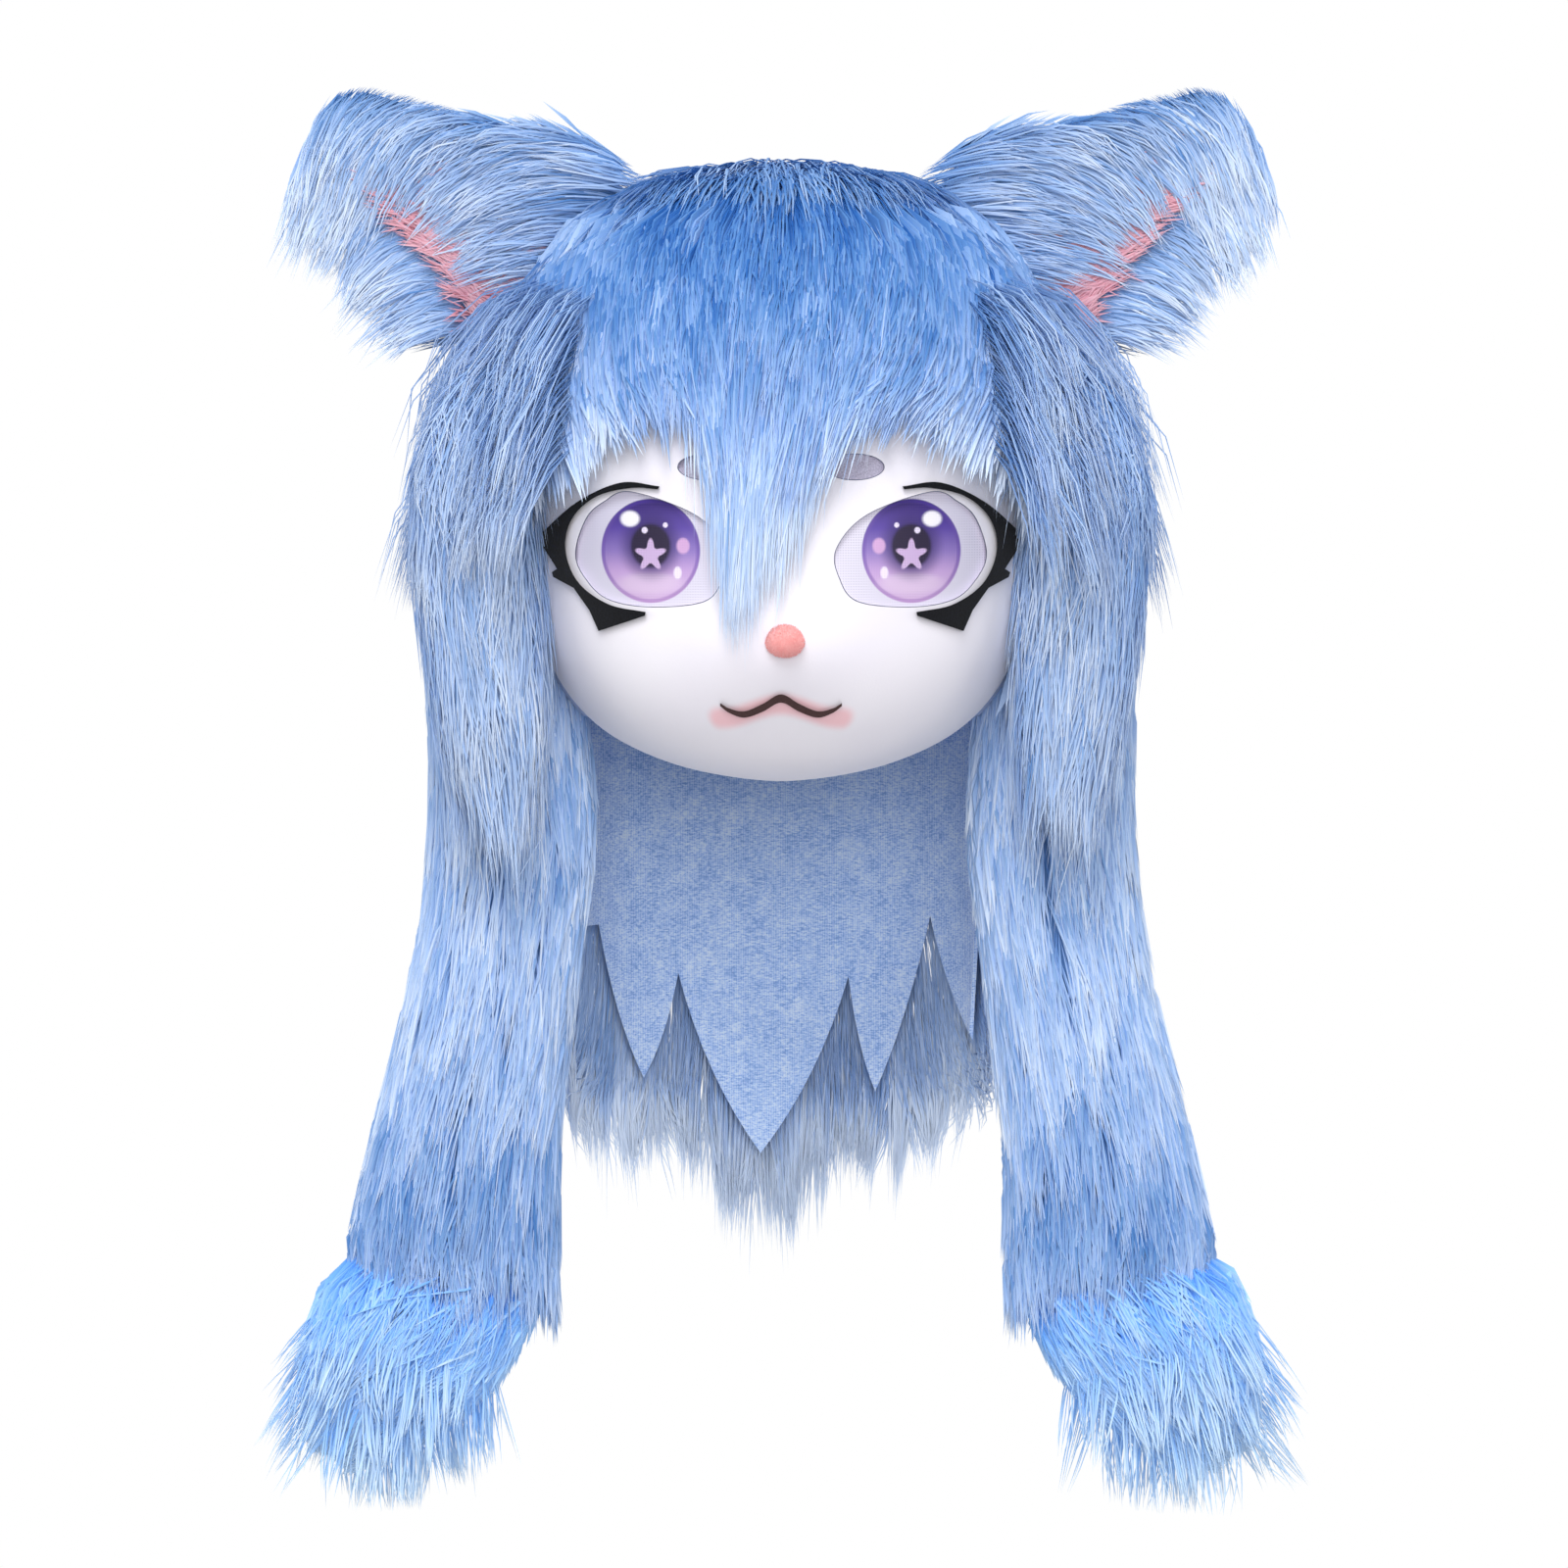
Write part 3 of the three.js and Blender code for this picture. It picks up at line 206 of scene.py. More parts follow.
def fur_material(name, stops):
    """Dyed acrylic pile, deep at the root and pale towards the tip: partly the dye, partly painted shade
    where the pile shades its own roots. Each strand is a little apart.
    """
    material, tree, shader = start_material(name, 0.7, 0.0, 0.12)
    place = add(tree, "UVMap", uv_map=UV_FUR)
    parts = add(tree, "SeparateXYZ", {0: place.outputs["UV"]})
    # Darker towards the root along each strand: partly the pile's dye, partly painted shade of the roots
    # under the pile.
    along = add(tree, "Math", {0: parts.outputs["X"], 1: 0.6, 2: -0.27}, operation="MULTIPLY_ADD")
    tone_and_root_shade = add(tree, "Math", {0: parts.outputs["Y"], 1: along}, operation="ADD", use_clamp=True)
    colour = ramp_of(tree, tone_and_root_shade.outputs[0], stops)
    tree.links.new(colour, shader.inputs["Base Color"])
    return material


def mask_material():
    """Brushed stretch velour printed with a blush: matt, with a fine short nap."""
    material, tree, shader = start_material("brushed_stretch_velour", 0.85, 0.3, 0.2)
    coords = add(tree, "TexCoord")
    parts = add(tree, "SeparateXYZ", {0: coords.outputs["Object"]})
    # The blush follows the mouth line: two shallow arcs, each half of its width.
    half, arc_rise, blush_high, blush_wide = MOUTH_WIDE / 2 * MM, 0.0035, 0.0052, 0.0055
    out = add(tree, "Math", {0: parts.outputs["X"]}, operation="ABSOLUTE")
    arc = add(tree, "Math", {0: out, 1: PI * 1.05 / half}, operation="MULTIPLY")
    wave = add(tree, "Math", {0: arc}, operation="COSINE")
    line = add(tree, "Math", {0: wave, 1: arc_rise, 2: level(MOUTH_DROP) * MM - 0.0015},
               operation="MULTIPLY_ADD")
    above = add(tree, "Math", {0: parts.outputs["Z"], 1: line}, operation="SUBTRACT")
    apart = add(tree, "Math", {0: above, 1: 1 / blush_high}, operation="MULTIPLY")
    beyond = add(tree, "Math", {0: out, 1: half}, operation="SUBTRACT")
    past = add(tree, "Math", {0: beyond, 1: 0.0}, operation="MAXIMUM")
    wide = add(tree, "Math", {0: past, 1: 1 / blush_wide}, operation="MULTIPLY")
    spot = add(tree, "CombineXYZ", {"X": apart, "Y": wide})
    far = add(tree, "VectorMath", {0: spot}, operation="LENGTH")
    blush = add(tree, "MapRange", {"Value": far.outputs["Value"], "From Min": 0.3, "From Max": 1.6,
                "To Min": 0.62, "To Max": 0.0}, interpolation_type="SMOOTHERSTEP")
    nap = add(tree, "TexNoise", {"Vector": coords.outputs["Object"], "Scale": 900.0, "Detail": 3.0})
    cloud = add(tree, "TexNoise", {"Vector": coords.outputs["Object"], "Scale": 9.0})
    tint = ramp_of(tree, cloud.outputs["Fac"], [(0.3, "#E6E2EC"), (0.7, "#F0EDF3")])
    mixed = add(tree, "Mix", {"Factor": blush, "A": tint, "B": linear("#F1A7AE")}, data_type="RGBA")
    tree.links.new(mixed.outputs["Result"], shader.inputs["Base Color"])
    bump = add(tree, "Bump", {"Height": nap, "Strength": 0.15, "Distance": 0.0004})
    tree.links.new(bump.outputs["Normal"], shader.inputs["Normal"])
    return material


def cloth_material(name, dark, pale, scale, strength, roughness=0.9, sheen=0.2):
    """A matt textile of one colour, with a fine grain in its colour and its bump."""
    material, tree, shader = start_material(name, roughness, sheen, 0.2)
    coords = add(tree, "TexCoord")
    grain = add(tree, "TexNoise", {"Vector": coords.outputs["Object"], "Scale": scale, "Detail": 4.0})
    colour = ramp_of(tree, grain.outputs["Fac"], [(0.3, dark), (0.7, pale)])
    tree.links.new(colour, shader.inputs["Base Color"])
    bump = add(tree, "Bump", {"Height": grain, "Strength": strength, "Distance": 0.0006})
    tree.links.new(bump.outputs["Normal"], shader.inputs["Normal"])
    return material


# Mesh helpers. Points come in millimetres and meshes are made in metres.

def new_object(name, data):
    made = bpy.data.objects.new(name, data)
    bpy.context.scene.collection.objects.link(made)
    return made


def smooth_faces(mesh, sharp_degrees=40.0):
    """Smooth shading everywhere apart from the edges that turn more than an angle."""
    mesh.polygons.foreach_set("use_smooth", np.ones(len(mesh.polygons), bool))
    shape = bmesh.new()
    shape.from_mesh(mesh)
    for edge in shape.edges:
        edge.smooth = len(edge.link_faces) == 2 and edge.calc_face_angle(0) < math.radians(sharp_degrees)
    shape.to_mesh(mesh)
    shape.free()
    return mesh


def mesh_from(name, points, faces):
    mesh = bpy.data.meshes.new(name)
    mesh.from_pydata((np.asarray(points) * MM).tolist(), [], faces)
    mesh.update()
    shape = bmesh.new()
    shape.from_mesh(mesh)
    bmesh.ops.recalc_face_normals(shape, faces=shape.faces)
    shape.to_mesh(mesh)
    shape.free()
    return mesh


def skin(name, rings, start, end):
    """A closed skin through rings with equal numbers of points, fanned shut at both ends."""
    rows, sides = rings.shape[:2]
    points = np.concatenate([rings.reshape(-1, 3), [start], [end]])
    faces = []
    for side in range(sides):
        after = (side + 1) % sides
        faces.append((rows * sides, after, side))
        last = (rows - 1) * sides
        faces.append((rows * sides + 1, last + side, last + after))
        for row in range(rows - 1):
            here = row * sides
            faces.append((here + side, here + after, here + sides + after, here + sides + side))
    return mesh_from(name, points, faces)


def grid_quads(outer, inner):
    """The points and quads of a closed slab between two grids."""
    rows, cols = outer.shape[:2]
    deep = rows * cols
    quads = []
    for row in range(rows - 1):
        for col in range(cols - 1):
            a = row * cols + col
            quads.append((a, a + 1, a + cols + 1, a + cols))
            quads.append((a + deep + cols, a + deep + cols + 1, a + deep + 1, a + deep))
    border = list(range(cols)) + [row * cols + cols - 1 for row in range(1, rows)]
    border += [(rows - 1) * cols + col for col in range(cols - 2, -1, -1)]
    border += [row * cols for row in range(rows - 2, 0, -1)]
    for here, after in zip(border, border[1:] + border[:1]):
        quads.append((after, here, here + deep, after + deep))
    return np.concatenate([outer.reshape(-1, 3), inner.reshape(-1, 3)]), np.array(quads)


def slab(name, outer, inner):
    """A closed sheet between two grids of points, with walls round its edge."""
    points, quads = grid_quads(outer, inner)
    return mesh_from(name, points, quads.tolist())


def carve(mesh, cutter, operation="DIFFERENCE"):
    """Cuts or joins two closed meshes and returns the new one."""
    body, tool = new_object("body", mesh), new_object("tool", cutter)
    step = body.modifiers.new("cut", "BOOLEAN")
    step.operation, step.object, step.solver = operation, tool, "EXACT"
    graph = bpy.context.evaluated_depsgraph_get()
    made = bpy.data.meshes.new_from_object(body.evaluated_get(graph))
    bpy.data.objects.remove(body)
    bpy.data.objects.remove(tool)
    return made


def prism(outline, near, far):
    """An outline drawn in x and z, run from front to back between two distances in y."""
    count = len(outline)
    points = [(x, near, z) for x, z in outline] + [(x, far, z) for x, z in outline]
    faces = [tuple(range(count)), tuple(range(2 * count - 1, count - 1, -1))]
    for at in range(count):
        after = (at + 1) % count
        faces.append((after, at, at + count, after + count))
    return mesh_from("prism", points, faces)


def head_skin(lift, around, down):
    """The whole head form as one closed skin."""
    angles = np.linspace(-PI, PI, around, endpoint=False)
    turns = np.linspace(0, PI, down + 2)[1:-1]
    shares = (1 - np.cos(turns)) / 2
    rings = head_point(angles[None, :], shares[:, None], lift)
    return skin("head", rings, head_point(0.0, 0.0, lift), head_point(0.0, 1.0, lift))


def place_piece(name, mesh, material, slot, *nodes):
    """Makes the piece that stands for some nodes, and ties it to the head."""
    mesh.materials.clear()
    mesh.materials.append(material)
    piece = new_object(name, mesh)
    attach(piece, "root")
    if nodes:
        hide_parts(*nodes)
    return piece


# Outlines on the face, by shares of the eye's width and height, out from its middle.
EYE_OUTLINE = [
    (0.13, 0.485), (-0.29, 0.29), (-0.49, 0.0), (-0.47, -0.25), (-0.35, -0.45), (0.0, -0.5),
    (0.28, -0.44), (0.43, -0.27), (0.5, -0.05), (0.43, 0.25), (0.31, 0.4),
]
LASH_TOP = [(-0.055, 0.53), (0.2, 0.56), (0.49, 0.39), (0.745, 0.1)]
LASH_SIDE = [(0.74, 0.06), (0.62, -0.18), (0.655, -0.21), (0.645, -0.25), (0.51, -0.34)]
LASH_TAIL = [(0.405, -0.53), (0.345, -0.705)]
LASH_FOOT = [(0.04, -0.57), (0.035, -0.54)]
LASH_INNER = [
    (0.28, -0.475), (0.48, -0.29), (0.565, -0.01), (0.52, 0.25), (0.36, 0.44), (0.13, 0.515),
    (-0.045, 0.505),
]
MOUTH_PATH = [
    (-1.0, 0.55), (-0.85, -0.35), (-0.6, -0.9), (-0.3, 0.1), (0.0, 1.5), (0.3, 0.1), (0.6, -0.9),
    (0.85, -0.35), (1.0, 0.55),
]


def curve_through(points, each, closed=False):
    """More points along a smooth curve through a few."""
    p = np.array(points, float)
    if closed:
        p = np.concatenate([p[-2:], p, p[:3]])
        knots = np.arange(len(p)) - 2.0
        at = np.arange(len(points) * each) / each
    else:
        knots = np.arange(len(p)).astype(float)
        at = np.linspace(0, len(p) - 1, (len(p) - 1) * each + 1)
    return smooth(knots, p, at)


def eye_place(points, side, shrink=0.0):
    p = np.asarray(points, float)
    x = side * (EYE_SPACING / 2 + p[:, 0] * (EYE_WIDE - 2 * shrink))
    return np.stack([x, level(EYE_DROP) + p[:, 1] * (EYE_HIGH - 2 * shrink)], axis=1)


def eye_shape(side, shrink=0.0):
    return eye_place(curve_through(EYE_OUTLINE, 12, closed=True), side, shrink)


def lash_shape(side):
    parts = [
        curve_through(LASH_TOP, 12), np.array(LASH_SIDE + LASH_TAIL + LASH_FOOT[:1]),
        curve_through(LASH_FOOT[1:] + LASH_INNER, 12),
    ]
    return eye_place(np.concatenate(parts), side)


def brow_shape(side, shrink=0.0):
    turn = np.linspace(0, 2 * PI, 40, endpoint=False)
    x = side * BROW_SPACING / 2 + (BROW_WIDE / 2 - shrink) * np.cos(turn)
    return np.stack([x, level(BROW_DROP) + (BROW_HIGH / 2 - shrink) * np.sin(turn)], axis=1)


def mouth_shape():
    middle = curve_through(MOUTH_PATH, 10)
    x, z = middle[:, 0] * MOUTH_WIDE / 2, level(MOUTH_DROP) + middle[:, 1] * MOUTH_LINE
    half = MOUTH_LINE * (0.62 - 0.4 * middle[:, 0] ** 2)
    upper, lower = np.stack([x, z + half], axis=1), np.stack([x, z - half], axis=1)
    return np.concatenate([upper, lower[::-1]])


def face_layer(outline, low, high, spacing):
    """A layer on the face between two lifts, cut to an outline."""
    corner, far = outline.min(0) - 3, outline.max(0) + 3
    xs = np.linspace(corner[0], far[0], int((far[0] - corner[0]) / spacing) + 2)
    zs = np.linspace(far[1], corner[1], int((far[1] - corner[1]) / spacing) + 2)
    x, z = np.meshgrid(xs, zs)
    sheet = slab("layer", face_point(x, z, high), face_point(x, z, low))
    return carve(sheet, prism(outline, -2 * FACE_REACH, 0), "INTERSECT")


def mask_side(shift):
    """The room in front of the slanting joint between mask and hood."""
    top_y, chin_y = -JOINT_TOP * FACE_REACH + shift, -JOINT_CHIN * FACE_REACH + shift
    lean = (chin_y - top_y) / HEAD_HEIGHT
    high, low = level(-HEAD_HEIGHT), level(2 * HEAD_HEIGHT)
    side = [(top_y - lean * HEAD_HEIGHT, high), (top_y + lean * 2 * HEAD_HEIGHT, low), (-CLEAR, low),
            (-CLEAR, high)]
    points = [(x, y, z) for x in (-CLEAR, CLEAR) for y, z in side]
    faces = [(0, 1, 2, 3), (7, 6, 5, 4)] + [(at, (at + 1) % 4, (at + 1) % 4 + 4, at + 4) for at in range(4)]
    return mesh_from("mask_side", points, faces)


def neck_hole():
    turn = np.linspace(0, 2 * PI, 64, endpoint=False)
    x, y = NECK_WIDTH / 2 * np.cos(turn), NECK_BACK + NECK_DEPTH / 2 * np.sin(turn)
    rings = np.stack([
        np.stack([x, y, np.full_like(x, level(HEAD_HEIGHT) + z)], axis=1)
        for z in (-HEAD_HEIGHT / 6, HEAD_HEIGHT / 6)
    ])
    middle = rings.mean(axis=1)
    return skin("neck", rings, middle[0], middle[1])


def head_shell(wall, around, down):
    shell = carve(head_skin(0, around, down), head_skin(-wall, around, down))
    return carve(shell, neck_hole())


def make_mask():
    mesh = carve(head_shell(FACE_WALL, 128, 84), mask_side(-PIECE_GAP / 2), "INTERSECT")
    for side in (-1, 1):
        for outline in (eye_shape(side), brow_shape(side)):
            mesh = carve(mesh, prism(outline, -2 * FACE_REACH, -0.15 * FACE_REACH))
    place_piece("mask", smooth_faces(mesh), mask_material(), "mask_cloth", "face_shell")


def make_hood():
    mesh = carve(head_shell(HOOD_WALL, 72, 48), mask_side(PIECE_GAP / 2))
    rim_level = level(HOOD_RIM_DROP)
    rim = prism([(-CLEAR, rim_level), (CLEAR, rim_level), (CLEAR, -900), (-CLEAR, -900)], -CLEAR, CLEAR)
    mesh = carve(mesh, rim)
    # Quilted spacer foam under a brushed lining, seen through the neck opening.
    foam = cloth_material("brushed_foam_lining", "#7E97C4", "#9DB3DC", 700.0, 0.4)
    place_piece("hood", smooth_faces(mesh), foam, "hood_padding", "hood_shell")


# Fur

# Places along a strand where it may bend: a short one once and a long one twice.
FINE, CURVED = (0.0, 0.5, 1.0), (0.0, 0.35, 0.7, 1.0)
DOWN = np.array([0.0, 0.0, -1.0])
# How many strands each coat has.
COATS = {
    "crown": 20000, "cap": 4800, "forelock": 11000, "fringe": 8000, "flap": 14000, "paw": 7000,
    "paw_tip": 800, "side_hair": 4100, "temple": 2400, "ear_back": 4500, "ear_ridge": 2300,
    "ear_rim": 900, "ear_end": 700, "inner_ear": 2200, "nape": 7800,
}


def unit(vectors):
    return vectors / np.maximum(np.linalg.norm(vectors, axis=-1, keepdims=True), 1e-9)


def surface_frame(surf, u, v):
    """Points of a surface with its outward normal and how fast it runs along u and v."""
    step = 1e-3
    here = surf(u, v)
    along_u, along_v = (surf(u + step, v) - here) / step, (surf(u, v + step) - here) / step
    normal = unit(np.cross(along_u, along_v))
    return here, normal, np.linalg.norm(along_u, axis=1), np.linalg.norm(along_v, axis=1)


def scatter(surf, count, rng, keep=None, v_range=(0.0, 1.0), u_range=(0.0, 1.0)):
    """Even random places on a surface, or denser where keep is larger."""
    tries = 16 * count
    u = rng.uniform(*u_range, tries)
    v = rng.uniform(*v_range, tries)
    here, _, speed_u, speed_v = surface_frame(surf, u, v)
    weight = speed_u * speed_v
    if keep is not None:
        weight = weight * keep(u, v, here)
    chosen = rng.choice(tries, count, replace=False, p=weight / weight.sum())
    return u[chosen], v[chosen]


def find_locks(places, per_lock, rng):
    """The leading strand of the lock that each strand belongs to."""
    leaders = rng.choice(len(places), max(1, len(places) // per_lock), replace=False)
    tree = KDTree(len(leaders))
    for at, leader in enumerate(leaders):
        tree.insert(places[leader], at)
    tree.balance()
    return leaders[[tree.find(place)[1] for place in places]]


def laid(surf, u, v, tip_u, tip_v, stand, tip_stand, rng, per_lock, pull, steps, wave=1.5, root=-2.0):
    """Centre lines of strands that lie over a surface, drawn together towards the tips of their locks."""
    count = len(u)
    roots, tips = surf(u, v), surf(tip_u, tip_v)
    lock = find_locks(0.7 * roots + 0.3 * tips, per_lock, rng)
    draw = pull * rng.uniform(0.4, 1.1, count)
    apart = tip_u[lock] - tip_u
    end_u = tip_u + (apart - np.round(apart)) * draw
    end_v = tip_v + (tip_v[lock] - tip_v) * draw * 0.6
    end_stand = tip_stand + (tip_stand[lock] - tip_stand) * draw
    swing = rng.uniform(-1, 1, count)[lock] * wave + rng.uniform(-1, 1, count) * wave * 0.5
    lines, normals = [], []
    for t in steps:
        at_u = u + (tip_u - u) * t + (end_u - tip_u) * t ** 1.7
        at_v = v + (tip_v - v) * t + (end_v - tip_v) * t ** 1.7
        here, normal, _, _ = surface_frame(surf, at_u, at_v)
        rise = root * (1 - t) ** 2 + stand * 4 * t * (1 - t) + end_stand * t * t
        across = unit(np.cross(normal, tips - roots))
        lines.append(here + normal * rise[:, None] + across * (swing * math.sin(5 * t) * t)[:, None])
        normals.append(normal)
    return np.stack(lines, axis=1), np.stack(normals, axis=1), lock


def hung(roots, facing, heading, reach, sag, rng, per_lock, pull, steps, wave=1.5):
    """Centre lines of free strands: each sets off in its heading and sinks under its own weight."""
    count = len(roots)
    sag = sag[:, None]
    # A hanging strand shows its side, not its underside.
    facing = unit(facing * [1.0, 1.0, 0.4])
    def path(t):
        return roots + reach[:, None] * (heading * (t - sag * t * t / 2) + DOWN * sag * t * t / 2)
    tips = path(1.0)
    lock = find_locks(0.6 * roots + 0.4 * tips, per_lock, rng)
    draw = (pull * rng.uniform(0.4, 1.1, count))[:, None]
    across = unit(np.cross(facing, heading))
    swing = (rng.uniform(-1, 1, count)[lock] * wave + rng.uniform(-1, 1, count) * wave * 0.5)[:, None]
    lines = [path(t) + (tips[lock] - tips) * draw * t ** 1.7 + across * swing * math.sin(5 * t) * t
             for t in steps]
    return np.stack(lines, axis=1), np.repeat(facing[:, None], len(steps), axis=1), lock


# A strand is closed: a root point, one or two rings, and a tip. A short one has rings of two
# points and is bent in one plane, a long one has rings of three. The first faces of each are its
# outer side and the others its inner side.
STRAND_FACES = {
    3: ([(0, 2, 1), (2, 3, 1)], [(0, 1, 3), (0, 3, 2)]),
    4: ([(0, 2, 1), (2, 5, 1), (5, 4, 1), (5, 7, 4)],
        [(0, 1, 3), (1, 4, 3), (4, 6, 3), (4, 7, 6), (0, 3, 2), (3, 6, 2), (6, 5, 2), (6, 7, 5)]),
}


def strand_arrays(lines, facing, width, tone):
    """Points, triangles, map places and corner normals of closed strands."""
    count, steps = lines.shape[:2]
    if steps == 3:
        flat = unit(np.cross(facing[:, 1], lines[:, 2] - lines[:, 0]))
        off = ((lines[:, 1] - (lines[:, 0] + lines[:, 2]) / 2) * flat).sum(1, keepdims=True)
        lines = np.stack([lines[:, 0], lines[:, 1] - flat * off, lines[:, 2]], axis=1)
    tangent = unit(np.gradient(lines, axis=1))
    across = unit(np.cross(facing, tangent))
    out = np.cross(tangent, across)
    share = np.array([1.0] if steps == 3 else [1.0, 0.8])
    half = (width[:, None] * share / 2)[..., None]
    middle, aside, rise = lines[:, 1:-1], across[:, 1:-1] * half, out[:, 1:-1]
    soft = 0.6 * facing + 0.5 * out
    lean = across[:, 1:-1] * 0.4
    ring = [middle + aside + rise * 0.12, middle - aside + rise * 0.12]
    ring_normals = [soft[:, 1:-1] + lean, soft[:, 1:-1] - lean]
    if steps == 4:
        ring.append(middle - rise * half)
        ring_normals.append(-rise)
    corners = len(ring)
    ring, ring_normals = (np.stack(part, 2).reshape(count, -1, 3) for part in (ring, ring_normals))
    points = np.concatenate([lines[:, :1], ring, lines[:, -1:]], axis=1)
    normals = unit(np.concatenate([soft[:, :1], ring_normals, soft[:, -1:]], axis=1))
    row = np.concatenate([[0], np.repeat(np.arange(1, steps - 1), corners), [steps - 1]])
    outer, inner = (np.array(side) for side in STRAND_FACES[steps])
    tris = np.concatenate([outer, inner])
    across_map = np.concatenate([[0.5], np.tile([1.0, 0.0, 2.0][:corners], steps - 2), [0.5]])
    tone = tone[:, row] if tone.ndim == 2 else tone[:, None]
    places = np.stack(np.broadcast_arrays(row / (steps - 1), tone + across_map * 0.0015), axis=-1)
    # The inner side faces half to the left and half to the right.
    left = np.repeat([1.0, -1.0], len(inner) // 2)[None, :, None, None]
    inner_normals = unit(across[:, row[inner]] * left + out[:, row[inner]] * (0.4 if steps == 3 else -0.6))
    corner_normals = np.concatenate([normals[:, outer], inner_normals], axis=1)
    index = (np.arange(count) * points.shape[1])[:, None, None] + tris[None]
    return (points.reshape(-1, 3), index.reshape(-1, 3), places[:, tris].reshape(-1, 2),
            corner_normals.reshape(-1, 3))


def fur_mesh(name, coats, under=None, mirrored=False, under_tone=0.3):
    """One mesh from several coats of strands, with the backing under them."""
    points, tris, maps, normals, start = [], [], [], [], 0
    for coat in coats:
        p, t, m, n = strand_arrays(*coat)
        points.append(p)
        tris.append(t + start)
        maps.append(m)
        normals.append(n)
        start += len(p)
    if under is not None:
        p, q = under
        q = np.concatenate([q[:, [0, 1, 2]], q[:, [0, 2, 3]]])
        points.append(p)
        tris.append(q + start)
        maps.append(np.tile([[0.5, 0.0], [0.5, 0.002], [0.502, 0.0]], (len(q), 1)) + [0.0, under_tone])
        corner = p[q]
        face = unit(np.cross(corner[:, 1] - corner[:, 0], corner[:, 2] - corner[:, 0]))
        normals.append(np.repeat(face, 3, axis=0))
    points, tris = np.concatenate(points), np.concatenate(tris)
    maps, normals = np.concatenate(maps), np.concatenate(normals)
    if mirrored:
        points, normals = points * [-1, 1, 1], normals * [-1, 1, 1]
        tris = tris[:, ::-1]
        maps, normals = (table.reshape(-1, 3, table.shape[1])[:, ::-1].reshape(table.shape)
                         for table in (maps, normals))
    mesh = bpy.data.meshes.new(name)
    mesh.vertices.add(len(points))
    mesh.vertices.foreach_set("co", (points * MM).astype(np.float32).ravel())
    mesh.loops.add(tris.size)
    mesh.loops.foreach_set("vertex_index", tris.astype(np.int32).ravel())
    mesh.polygons.add(len(tris))
    mesh.polygons.foreach_set("loop_start", np.arange(0, tris.size, 3, dtype=np.int32))
    mesh.polygons.foreach_set("use_smooth", np.ones(len(tris), bool))
    mesh.update(calc_edges=True)
    layer = mesh.uv_layers.new(name=UV_FUR)
    layer.data.foreach_set("uv", maps.astype(np.float32).ravel())
    mesh.normals_split_custom_set(normals.tolist())
    return mesh


def tube_quads(surf, u_steps, v_steps, v_range):
    """The quads of a closed tube under a coat, its ends drawn shut."""
    u, v = np.meshgrid(np.linspace(1, 0, u_steps, endpoint=False), np.linspace(*v_range, v_steps))
    here, normal, _, _ = surface_frame(surf, u.ravel(), v.ravel())
    rings = (here - normal * 3.0).reshape(v_steps, u_steps, 3)
    ends = [ring.mean(0, keepdims=True) + (ring - ring.mean(0)) * 0.02 for ring in (rings[0], rings[-1])]
    rings = np.concatenate([[ends[0]], rings, [ends[1]]])
    quads = []
    for row in range(len(rings) - 1):
        for col in range(u_steps):
            after = (col + 1) % u_steps
            quads.append((row * u_steps + col, row * u_steps + after,
                          (row + 1) * u_steps + after, (row + 1) * u_steps + col))
    return rings.reshape(-1, 3), np.array(quads)


def shades(base, count, lock, rng, each=0.07, by_lock=0.07):
    """The tone of each strand: its region's, and a little of its lock's and its own."""
    return base + rng.normal(0, each, count) + rng.normal(0, by_lock, count)[lock]


def combed(surf, count, rng, length, spread, stand, tip_stand, per_lock, pull, tone, steps=FINE,
           v_range=(0.0, 1.0), lean=0.0, width=(0.9, 1.3), keep=None, wave=1.5, limit=2.0):
    """A coat whose strands run down a limb, with a little spread to either side."""
    u, v = scatter(surf, count, rng, keep, v_range)
    here, _, speed_u, speed_v = surface_frame(surf, u, v)
    reach = rng.normal(length, length * 0.17, count)
    aside = rng.normal(lean, spread, count)
    tip_u = u + reach * np.sin(aside) / np.maximum(speed_u, 60)
    tip_v = v + reach * np.cos(aside) / np.maximum(speed_v, 60)
    tip_v = np.minimum(tip_v, limit - rng.uniform(0, 0.1, count))
    lines, facing, lock = laid(surf, u, v, tip_u, tip_v, rng.uniform(*stand, count),
                               rng.uniform(*tip_stand, count), rng, per_lock, pull, steps, wave)
    return lines, facing, rng.uniform(*width, count), shades(tone(u, v, here), count, lock, rng)


def head_fur(u, v, lift=6.0):
    """The head form for combing: u runs right round from the back, v from crown to chin."""
    return head_point((0.5 - u) * 2 * PI, v, lift)


